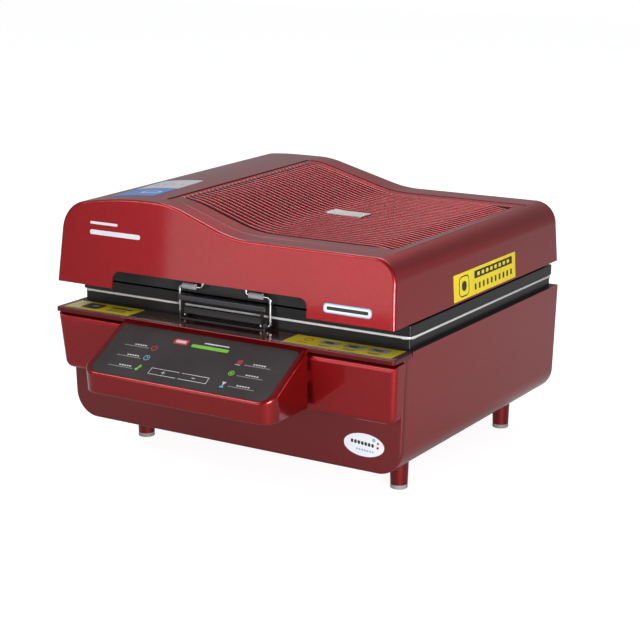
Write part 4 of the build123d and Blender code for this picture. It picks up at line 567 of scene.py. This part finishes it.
def circuit_laminate(name):
    """Green solder mask with fine straight tracks."""
    material, tree, shader, where = finish(name, (0.02, 0.16, 0.06), 0.32, Coat_Weight=0.4)
    tracks = tree.nodes.new("ShaderNodeTexBrick")
    tracks.inputs["Scale"].default_value = 1.0
    tracks.inputs["Brick Width"].default_value = 0.011
    tracks.inputs["Row Height"].default_value = 0.0035
    tracks.inputs["Mortar Size"].default_value = 0.0003
    tracks.inputs["Color1"].default_value = (0.012, 0.12, 0.045, 1)
    tracks.inputs["Color2"].default_value = (0.018, 0.15, 0.055, 1)
    tracks.inputs["Mortar"].default_value = (0.05, 0.30, 0.12, 1)
    tree.links.new(where, tracks.inputs["Vector"])
    tree.links.new(tracks.outputs["Color"], shader.inputs["Base Color"])
    bumped(tree, tracks.outputs["Fac"], shader, strength=0.2, distance=0.0001)
    return material


dress(circuit_laminate("circuit_laminate"), "control_board", "power_board")

# ---------------------------------------------------------------- feet and apron sticker
# Four tapered metal feet carry the machine, with pale grey rubber tips. The apron has a plain
# oval sticker at its right end.

foot_paint = candy_paint("foot_paint", (0.17, 0.010, 0.012), (0.28, 0.018, 0.022), roughness=0.42)
dress(foot_paint, "foot_front_left", "foot_front_right", "foot_rear_left", "foot_rear_right")
tip_rubber = satin_skin("tip_rubber", (0.30, 0.28, 0.28), 0.6, pebble=1400, depth=0.25)
dress(tip_rubber, "foot_pad_front_left", "foot_pad_front_right", "foot_pad_rear_left",
      "foot_pad_rear_right")

white_film = satin_skin("white_film", (0.74, 0.76, 0.80), 0.35, pebble=300, depth=0.05, vary=0.04,
                        Coat_Weight=0.5)
oval_half = (0.0305, 0.0158)
oval_sheet = disc(1.0, 48)
bmesh.ops.scale(oval_sheet, vec=(*oval_half, 1), verts=oval_sheet.verts)
oval_marks = [(white_film, 0, oval_sheet)]
oval_blocks = 7
for step in range(oval_blocks):
    oval_marks += [
        bar(black_print, 1, (0.0038, 0.0050), 0.0015,
            (-0.0180 + step * 0.0052, 0.0035 - step * 0.0004)),
        bar(blue_ink, 1, (0.0028, 0.0026), 0.0010,
            (-0.0105 + step * 0.0040, -0.0065 - step * 0.0002)),
    ]
for dot_ink, dot_radius, dot_x, dot_y in (
        (blue_ink, 0.0026, 0.0150, 0.0088), (red_ink, 0.0018, 0.0212, 0.0050),
        (black_print, 0.0017, 0.0208, -0.0010)):
    oval_marks.append((dot_ink, 1, shifted(disc(dot_radius), dot_x, dot_y)))
apron_sticker_place = (0.2155, -0.1829, 0.0870)
printed("apron_sticker", "front_apron", apron_sticker_place, oval_marks, along=(1, 0, 0),
        up=(0, 0, 1), body="base", slot="red_paint")

# ---------------------------------------------------------------- well
# A bright pressed pan sits in the base, with a loose perforated tray that carries the goods.
# The dark sheet ring round it closes the tub.


def brushed(name, colour, roughness, lengthways, metallic=1.0, depth=0.25, line_scale=1400.0,
            length_scale=14.0, cloud_scale=22, shade=0.86, gloss_spread=0.07, line_height=0.00006):
    """Brushed or rolled metal: fine lines along one axis, and soft clouds in its gloss."""
    material, tree, shader, where = finish(name, colour, roughness, metallic)
    scale = [line_scale, line_scale, line_scale]
    scale["xyz".index(lengthways)] = length_scale
    lines = grain(tree, stretched(tree, where, scale), 1.0, detail=2.0)
    cloud = grain(tree, where, cloud_scale)
    low = tuple(c * shade for c in colour)
    tree.links.new(two_tone(tree, between(tree, cloud, 0, 1), low, colour), shader.inputs["Base Color"])
    gloss = between(tree, lines, roughness - gloss_spread, roughness + gloss_spread)
    tree.links.new(gloss, shader.inputs["Roughness"])
    bumped(tree, lines, shader, depth, line_height)
    return material


pan_metal = brushed("pan_metal", (0.60, 0.60, 0.61), 0.34, "x")
tray_metal = brushed("tray_metal", (0.52, 0.53, 0.54), 0.28, "y")
ring_steel = satin_skin("ring_steel", (0.022, 0.022, 0.024), 0.42, metallic=0.3)
dress(pan_metal, "vacuum_pan")
dress(tray_metal, "vacuum_tray")
dress(ring_steel, "chassis_ring")

# ---------------------------------------------------------------- frames
# Two oblong frames of dark anodised bar clamp the sheet. The lower one is fixed and has a
# rubber gasket; the upper one swings on arms and is screwed to a bright clamp ring.

frame_bar = brushed("frame_bar", (0.012, 0.012, 0.013), 0.30, "x", metallic=0.35, depth=0.08)
gasket_rubber = satin_skin("gasket_rubber", (0.015, 0.015, 0.016), 0.62, pebble=1200, depth=0.3)
arm_steel = satin_skin("arm_steel", (0.030, 0.030, 0.033), 0.40, metallic=0.4)
screw_plate = brushed("screw_plate", (0.62, 0.61, 0.58), 0.26, "z")
dress(frame_bar, "lower_frame", "upper_frame")
dress(gasket_rubber, "frame_gasket")
dress(brushed("clamp_metal", (0.46, 0.47, 0.48), 0.30, "y"), "membrane_clamp")
dress(arm_steel, "frame_hinge_arms")
dress(screw_plate, "frame_screws")

# ---------------------------------------------------------------- silicone sheet
# One sheet of pale translucent silicone is stretched under the upper frame. Its thick moulded
# rim shows as a bright line that turns the frames' corners in a soft curve.

sheet_width = 0.5432
sheet_length = 0.4432
sheet_middle_y = 0.06125
sheet_bottom = 0.23185
sheet_rim = 0.0029
sheet_thin = 0.0012
sheet_corner = 0.015
rim_width = 0.0345
rim_slope = 0.002
rim_round = 0.0016
bead_width = 0.0014
bead_swell = 0.0007
sheet_shape = bmesh.new()
bmesh.ops.create_grid(sheet_shape, x_segments=1, y_segments=1, size=0.5)
bmesh.ops.scale(sheet_shape, vec=(sheet_width, sheet_length, 1), verts=sheet_shape.verts)
bmesh.ops.bevel(sheet_shape, geom=sheet_shape.verts[:], offset=sheet_corner, segments=8,
                profile=0.5, affect="VERTICES", material=-1)
bmesh.ops.translate(sheet_shape, vec=(0, sheet_middle_y, sheet_bottom + sheet_rim),
                    verts=sheet_shape.verts)
thicken(sheet_shape, (0, 0, -sheet_rim))
for upward in (1, -1):
    flat = max(sheet_shape.faces, key=lambda face: upward * face.calc_center_median().z)
    bead = list(flat.edges)
    bmesh.ops.inset_region(sheet_shape, faces=[flat], thickness=bead_width, depth=0.0)
    swollen = {vert for edge in bead for vert in edge.verts}
    bmesh.ops.translate(sheet_shape, vec=(0, 0, upward * bead_swell), verts=list(swollen))
    if upward < 0:
        bmesh.ops.inset_region(sheet_shape, faces=[flat], thickness=rim_width, depth=0.0)
        bmesh.ops.inset_region(sheet_shape, faces=[flat], thickness=rim_slope, depth=0.0)
        bmesh.ops.translate(sheet_shape, vec=(0, 0, sheet_rim - sheet_thin), verts=list(flat.verts))
sharp_turn = 1.0              # radians between two faces
rim_edges = [edge for edge in sheet_shape.edges
             if len(edge.link_faces) == 2 and edge.calc_face_angle(0) > sharp_turn]
bmesh.ops.bevel(sheet_shape, geom=rim_edges, offset=rim_round, segments=4, profile=0.5,
                affect="EDGES", material=-1)
bmesh.ops.triangulate(sheet_shape, faces=[face for face in sheet_shape.faces if len(face.verts) > 4])
level_normal = 0.98
for face in sheet_shape.faces:
    face.smooth = abs(face.normal.z) < level_normal
silicone_sheet = mesh_object("silicone_sheet", sheet_shape)
silicone, tree, shader, where = finish(
    "silicone", (0.60, 0.60, 0.59), 0.30, Coat_Weight=0.5, Coat_Roughness=0.15, IOR=1.43,
    Subsurface_Weight=0.25)
shader.inputs["Subsurface Radius"].default_value = (0.004, 0.004, 0.004)
shader.inputs["Subsurface Scale"].default_value = 1.0
milk = between(tree, grain(tree, where, scale=11), low=0, high=1)
tree.links.new(two_tone(tree, milk, (0.53, 0.53, 0.52), (0.64, 0.64, 0.63)),
               shader.inputs["Base Color"])
sheen = between(tree, grain(tree, where, scale=60), low=0.24, high=0.38)
tree.links.new(sheen, shader.inputs["Roughness"])
bumped(tree, grain(tree, where, scale=500, detail=2.0), shader, strength=0.06, distance=0.0001)
silicone_sheet.data.materials.append(silicone)
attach(silicone_sheet, "membrane_frame")
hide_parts("silicone_membrane")

# ---------------------------------------------------------------- latch
# A wire bail with two soft sleeves hooks the lid, and a black lever plate with a rounded grip
# draws it down. The bracket is bent steel, held by small bright screws.

latch_black = satin_skin("latch_black", (0.012, 0.012, 0.013), 0.34, metallic=0.3, Coat_Weight=0.4)
dress(latch_black, "latch_bracket", "latch_lever", "lid_catch")
dress(satin_skin("grip_plastic", (0.020, 0.020, 0.023), 0.24, pebble=300, depth=0.05,
                 Coat_Weight=0.6), "lever_grip")
dress(brushed("bright_wire", (0.80, 0.80, 0.80), 0.16, "z", depth=0.06), "latch_bail")
dress(satin_skin("sleeve_grey", (0.36, 0.35, 0.36), 0.5, pebble=700, depth=0.25),
      "bail_roller_left", "bail_roller_right")
dress(screw_plate, "latch_screws", "rear_screws", "hinge_pins")

# ---------------------------------------------------------------- lid
# The lid is one red moulding, tall on the left, that falls in a long S to a low flat right
# part. Its front has pale bars and a framed bar, its right side a yellow sticker, and its left
# end a blue and white label on top.

dress(red_paint, "lid_shell")
front_lean = (0, 0.11, 0.99)
lid_front_print = {"along": (1, 0, 0), "up": front_lean, "body": "lid", "slot": "red_paint"}
title_place = (-0.1740, -0.2010, 0.3350)
title_marks = [
    bar(white_film, 0, (0.0480, 0.0036), 0.0016, (-0.0205, 0.0080)),
    bar(white_film, 0, (0.0880, 0.0066), 0.0030, (-0.0005, -0.0050)),
]
printed("lid_title_bars", "lid_shell", title_place, title_marks, **lid_front_print)

lid_badge_place = (0.2050, -0.2080, 0.2720)
lid_badge_marks = [
    bar(blue_ink, 0, (0.0720, 0.0125), 0.0045),
    bar(white_film, 1, (0.0690, 0.0095), 0.0035),
    bar(black_print, 2, (0.0620, 0.0046), 0.0018),
]
printed("lid_badge", "lid_shell", lid_badge_place, lid_badge_marks, **lid_front_print)

side_lean = (-0.05, 0, 1)
side_sticker_place = (0.2735, 0.0467, 0.2760)
target_place = (-0.0650, -0.0005)
pale_blocks = 8
pale_pitch = 0.0132
pale_y = 0.0088
dark_blocks = 10
dark_pitch = 0.0124
dark_y = -0.0078
side_marks = [
    bar(yellow_film, 0, (0.1900, 0.0370), 0.0010),
    bar(black_print, 1, (0.1180, 0.0105), 0.0008, (0.0250, pale_y)),
    bar(black_print, 1, (0.0300, 0.0290), 0.0080, target_place),
    bar(yellow_film, 2, (0.0265, 0.0255), 0.0065, target_place),
    bar(black_print, 3, (0.0140, 0.0140), 0.0068, target_place),
]
for step in range(pale_blocks):
    side_marks.append(bar(yellow_film, 2, (0.0075, 0.0052), 0.0014,
                          (-0.0215 + step * pale_pitch, pale_y)))
for step in range(dark_blocks):
    side_marks.append(bar(black_print, 1, (0.0050, 0.0085), 0.0014,
                          (-0.0310 + step * dark_pitch, dark_y)))
printed("lid_side_sticker", "lid_shell", side_sticker_place, side_marks, along=(0, 1, 0),
        up=side_lean, body="lid", slot="red_paint")

blue_film = satin_skin("blue_film", (0.085, 0.26, 0.72), 0.38, pebble=300, depth=0.05, vary=0.05,
                       Coat_Weight=0.4)
corner_label_place = (-0.1830, -0.0890, 0.3800)
corner_label_along = (0.994, 0.113, 0)
corner_label_up = (-0.113, 0.994, 0)
corner_label_width = 0.0690
picture_place = (0.0120, -0.0400)
grey_blocks = 4
corner_marks = [
    bar(white_film, 0, (corner_label_width, 0.0850), 0.0060, (0, 0.0305), strips=(14, 6)),
    bar(blue_film, 1, (corner_label_width, 0.0680), 0.0020, (0, -0.0380), strips=(14, 6)),
    bar(white_film, 2, (0.0300, 0.0190), 0.0060, picture_place, strips=(6, 2)),
    bar(blue_film, 3, (0.0220, 0.0110), 0.0040, picture_place, strips=(4, 2)),
]
for step in range(grey_blocks):
    corner_marks.append(bar(silver_print, 1, (0.0060, 0.0090), 0.0020,
                            (-0.0220 + step * 0.0140, 0.0320)))
printed("lid_corner_label", "lid_shell", corner_label_place, corner_marks, along=corner_label_along,
        up=corner_label_up, body="lid", slot="red_paint")

# ---------------------------------------------------------------- vents
# The vent field is a moulded insert with rounded slats across the lid. Warm air leaves between
# them. Each slat follows the S of the lid and dips at its right end.

vent_front_y = -0.1664
vent_back_y = 0.2409
vent_left = (-0.1106, -0.1356)        # the left edge at the front and at the back
vent_right = (0.2466, 0.2436)         # and the right edge
vent_sink = 0.0007
vent_wall_thickness = 0.0012
slat_count = 33
slat_pitch = 0.0107
slot_first_y = -0.13175
slot_half = 0.0029
slot_depth = 0.0080
slat_radius = 0.00285
slat_rise = 0.0005
wall_lean = 0.00015
left_start = 0.0045
left_run = 0.024
left_steps = 8
middle_steps = 46
right_end = 0.0172
right_run = 0.036
right_steps = 12
right_dip = 0.0034
right_rise = 0.0045
rise_reaches = (0.0008, 0.0020, 0.0032, right_rise)
slat_parts = (-1.0, -0.88, -0.62, -0.25, 0.25, 0.62, 0.88, 1.0)

# steps are pairs: (distance from an edge, how far the surface has sunk there)
edge_steps = ((0.0, 0.0012), (0.0004, 0.0003), (0.0012, 0.0), (0.0024, 0.0002), (0.0046, 0.0009))
front_band_steps = ((0.018, 0.0), (0.010, 0.0), (0.004, 0.0), (0.0016, 0.0002), (0.0005, 0.0009))
back_band_steps = ((0.0005, 0.0009), (0.0016, 0.0002), (0.004, 0.0))

whole_front_y = -0.1840       # in front of the vents the lid's top is whole
whole_back_y = 0.2560         # and behind them
above_lid = 0.5


def lid_height(x, y):
    """The lid's top surface, taken in front of and behind the vents, where it is whole."""
    front_z, back_z = (
        surface_of("lid_shell").ray_cast(Vector((x, row_y, above_lid)), Vector((0, 0, -1)))[0].z
        for row_y in (whole_front_y, whole_back_y))
    share = (y - whole_front_y) / (whole_back_y - whole_front_y)
    return front_z + share * (back_z - front_z)


def smooth_step(value):
    """Ease from 0 to 1."""
    value = min(1.0, max(0.0, value))
    return value * value * (3 - 2 * value)


def edge_drop(from_edge):
    """How far the panel lies below its own crest, by the distance from its edge."""
    for (near, near_drop), (far, far_drop) in zip(edge_steps, edge_steps[1:]):
        if from_edge < far:
            return near_drop + (far_drop - near_drop) * max(0.0, from_edge - near) / (far - near)
    return edge_steps[-1][1]


# rows run along X, one behind the other: (y, how far it has sunk, is it a slot wall's foot)
vent_rows = [(vent_front_y + reach, 0.0, False) for reach, _ in edge_steps]
band_end_y = slot_first_y - slot_half
vent_rows += [(band_end_y - reach, drop, False) for reach, drop in front_band_steps]
vent_rows.append((band_end_y, slot_depth, True))
slat_half = slat_pitch / 2 - slot_half
for slat in range(slat_count):
    crest_y = slot_first_y + (slat + 0.5) * slat_pitch
    vent_rows.append((crest_y - slat_half, slot_depth, True))
    for part in slat_parts:
        reach = part * (slat_half - wall_lean)
        drop = slat_radius - math.sqrt(slat_radius ** 2 - reach ** 2) - slat_rise
        vent_rows.append((crest_y + reach, drop, False))
    vent_rows.append((crest_y + slat_half, slot_depth, True))
band_start_y = slot_first_y + slat_count * slat_pitch + slot_half
vent_rows.append((band_start_y, slot_depth, True))
vent_rows += [(band_start_y + reach, drop, False) for reach, drop in back_band_steps]
vent_rows += [(vent_back_y - reach, 0.0, False) for reach, _ in reversed(edge_steps)]

# columns run along Y: (the part it lies in, its distance from that edge or its share of the middle)
vent_columns = [("left", reach) for reach, _ in edge_steps[:-1]]
vent_columns += [("left", left_start + left_run * step / left_steps)
                 for step in range(left_steps + 1)]
vent_columns += [("middle", step / middle_steps) for step in range(1, middle_steps)]
vent_columns += [("right", right_end + right_run * (1 - step / right_steps))
                 for step in range(right_steps + 1)]
vent_columns += [("right", right_end - reach) for reach in rise_reaches]
vent_columns += [("right", reach) for reach, _ in reversed(edge_steps)]
open_columns = range(8, len(vent_columns) - 10)       # here the slots are cut through
dark_columns = range(5, len(vent_columns) - 9)        # and here their walls are in the shade

# The slot walls take a near-black red: painted shade for the gaps between the slats.
slot_painted_shade = satin_skin("slot_painted_shade", (0.030, 0.003, 0.004), 0.6, pebble=600, depth=0.1)
vent_shape = bmesh.new()
bmesh.ops.create_grid(vent_shape, x_segments=len(vent_columns) - 1,
                      y_segments=len(vent_rows) - 1, size=0.5)
slot_faces = []
slot_walls = set()
for face in vent_shape.faces:
    spot = face.calc_center_median()
    column = int((spot.x + 0.5) * (len(vent_columns) - 1))
    row = int((spot.y + 0.5) * (len(vent_rows) - 1))
    starts_at_foot, ends_at_foot = vent_rows[row][2], vent_rows[row + 1][2]
    if starts_at_foot and ends_at_foot and column in open_columns:
        slot_faces.append(face)
    elif (starts_at_foot or ends_at_foot) and column in dark_columns:
        slot_walls.add(face)
for vert in vent_shape.verts:
    column = round((vert.co.x + 0.5) * (len(vent_columns) - 1))
    row = round((vert.co.y + 0.5) * (len(vent_rows) - 1))
    y, drop, is_foot = vent_rows[row]
    along_share = (y - vent_front_y) / (vent_back_y - vent_front_y)
    left_x = vent_left[0] + along_share * (vent_left[1] - vent_left[0])
    right_x = vent_right[0] + along_share * (vent_right[1] - vent_right[0])
    region, reach = vent_columns[column]
    if region == "left":
        x = left_x + reach
    elif region == "right":
        x = right_x - reach
    else:
        middle_start = left_x + left_start + left_run
        x = middle_start + reach * (right_x - right_end - right_run - middle_start)
    to_left, to_right = x - left_x, right_x - x
    depth = edge_drop(min(to_left, to_right, y - vent_front_y, vent_back_y - y))
    opened = smooth_step((to_left - left_start) / left_run)
    opened *= smooth_step((to_right - right_end + right_rise) / right_rise)
    if band_end_y < y < band_start_y and not is_foot:
        drop += right_dip * smooth_step(1 - (to_right - right_end) / right_run)
    vert.co = (x, y, lid_height(x, y) - vent_sink - depth - opened * drop)
bmesh.ops.delete(vent_shape, geom=slot_faces, context="FACES_ONLY")
for face in vent_shape.faces:
    face.smooth = True
    face.material_index = 1 if face in slot_walls else 0
vent_slats = mesh_object("vent_slats", vent_shape)
vent_wall = vent_slats.modifiers.new("wall", "SOLIDIFY")
vent_wall.thickness = vent_wall_thickness
vent_wall.offset = -1.0
vent_slats.data.materials.append(red_paint)
vent_slats.data.materials.append(slot_painted_shade)
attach(vent_slats, "lid")
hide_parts("vent_panel")

# ---------------------------------------------------------------- vent plate
# A small bare plate of brushed aluminium lies across the slats, with a low domed rivet at
# each end.

plate_metal = brushed("plate_metal", (0.74, 0.68, 0.66), 0.48, "x")
plate_place = (0.0560, 0.0420)
plate_size = (0.0600, 0.0300)
plate_corner = 0.0030
plate_lift = 0.0012
plate_thickness = 0.0016
rivet_radius = 0.0022
rivet_inset = 0.0045
rivet_lift = 0.0011
plate_shape = rounded_sheet(*plate_size, plate_corner, (6, 1))
bmesh.ops.translate(plate_shape, vec=(*plate_place, 0), verts=plate_shape.verts)
for vert in plate_shape.verts:
    vert.co.z = lid_height(vert.co.x, vert.co.y) - vent_sink + plate_lift
thicken(plate_shape, (0, 0, -plate_thickness))
for side in (-1, 1):
    rivet = bmesh.ops.create_uvsphere(plate_shape, u_segments=14, v_segments=8,
                                      radius=rivet_radius)["verts"]
    bmesh.ops.scale(plate_shape, vec=(1, 1, 0.5), verts=rivet)
    rivet_x = plate_place[0] + side * (plate_size[0] / 2 - rivet_inset)
    rivet_y = plate_place[1]
    rivet_z = lid_height(rivet_x, rivet_y) - vent_sink + rivet_lift
    bmesh.ops.translate(plate_shape, vec=(rivet_x, rivet_y, rivet_z), verts=rivet)
vent_plate = mesh_object("vent_plate", plate_shape)
vent_plate.data.materials.append(plate_metal)
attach(vent_plate, "lid")

# ---------------------------------------------------------------- heater
# Inside the lid a black steel box holds a polished reflector and quartz heating tubes in
# ceramic caps, behind a guard of crossed bright bars.

housing_coat = satin_skin("housing_coat", (0.020, 0.020, 0.021), 0.5, metallic=0.2)
dress(housing_coat, "heater_housing")
dress(brushed("reflector_metal", (0.72, 0.72, 0.73), 0.16, "x", depth=0.12), "reflector", "tube_rails")
dress(brushed("guard_bar", (0.58, 0.58, 0.58), 0.28, "z"), "heater_guard")
quartz, tree, shader, where = finish(
    "quartz", (0.80, 0.79, 0.76), 0.18, Transmission_Weight=0.35, IOR=1.46)
coil = tree.nodes.new("ShaderNodeTexWave")
coil.wave_type = "BANDS"
coil.bands_direction = "X"
coil.inputs["Scale"].default_value = 95.0
tree.links.new(where, coil.inputs["Vector"])
tree.links.new(two_tone(tree, coil.outputs["Fac"], (0.42, 0.36, 0.32), (0.84, 0.83, 0.80)),
               shader.inputs["Base Color"])
sheen = between(tree, grain(tree, where, scale=80), low=0.14, high=0.26)
tree.links.new(sheen, shader.inputs["Roughness"])
dress(quartz, "heating_tubes")
dress(satin_skin("cap_ceramic", (0.72, 0.70, 0.64), 0.55, pebble=1600, depth=0.3, vary=0.06),
      "tube_caps")
dress(brushed("probe_steel", (0.50, 0.49, 0.47), 0.30, "y"), "temperature_probe")

# ---------------------------------------------------------------- rear
# Black steel arms join lid and base at the rear. The rear panel carries a fan behind a wire
# guard, a mains inlet and a rocker switch of black moulded plastic.

dress(arm_steel, "lid_hinge_arms")
fan_plastic = satin_skin("fan_plastic", (0.014, 0.014, 0.015), 0.45, pebble=700, depth=0.2)
dress(fan_plastic, "fan_housing", "fan_rotor", "inlet_socket", "switch_housing")
dress(brushed("guard_wire", (0.66, 0.66, 0.66), 0.22, "z"), "fan_guard")
dress(satin_skin("rocker_plastic", (0.30, 0.012, 0.012), 0.28, pebble=300, depth=0.05,
                 Coat_Weight=0.4), "rocker_key")

# ---------------------------------------------------------------- pump
# Inside the base an oil-free pump, a steel motor with a finned alloy head, draws the air from
# the pan through a grey silicone hose. A brass valve lets the air back in.

dress(brushed("motor_steel", (0.34, 0.35, 0.37), 0.42, "x", depth=0.15), "pump_motor")
dress(satin_skin("cast_alloy", (0.42, 0.42, 0.43), 0.5, metallic=0.7, pebble=1000, depth=0.4),
      "pump_head")
dress(gasket_rubber, "pump_mounts")
dress(satin_skin("hose_silicone", (0.26, 0.27, 0.28), 0.35, pebble=300, depth=0.1), "vacuum_hose")
dress(brushed("valve_brass", (0.60, 0.44, 0.20), 0.30, "z"), "release_valve")
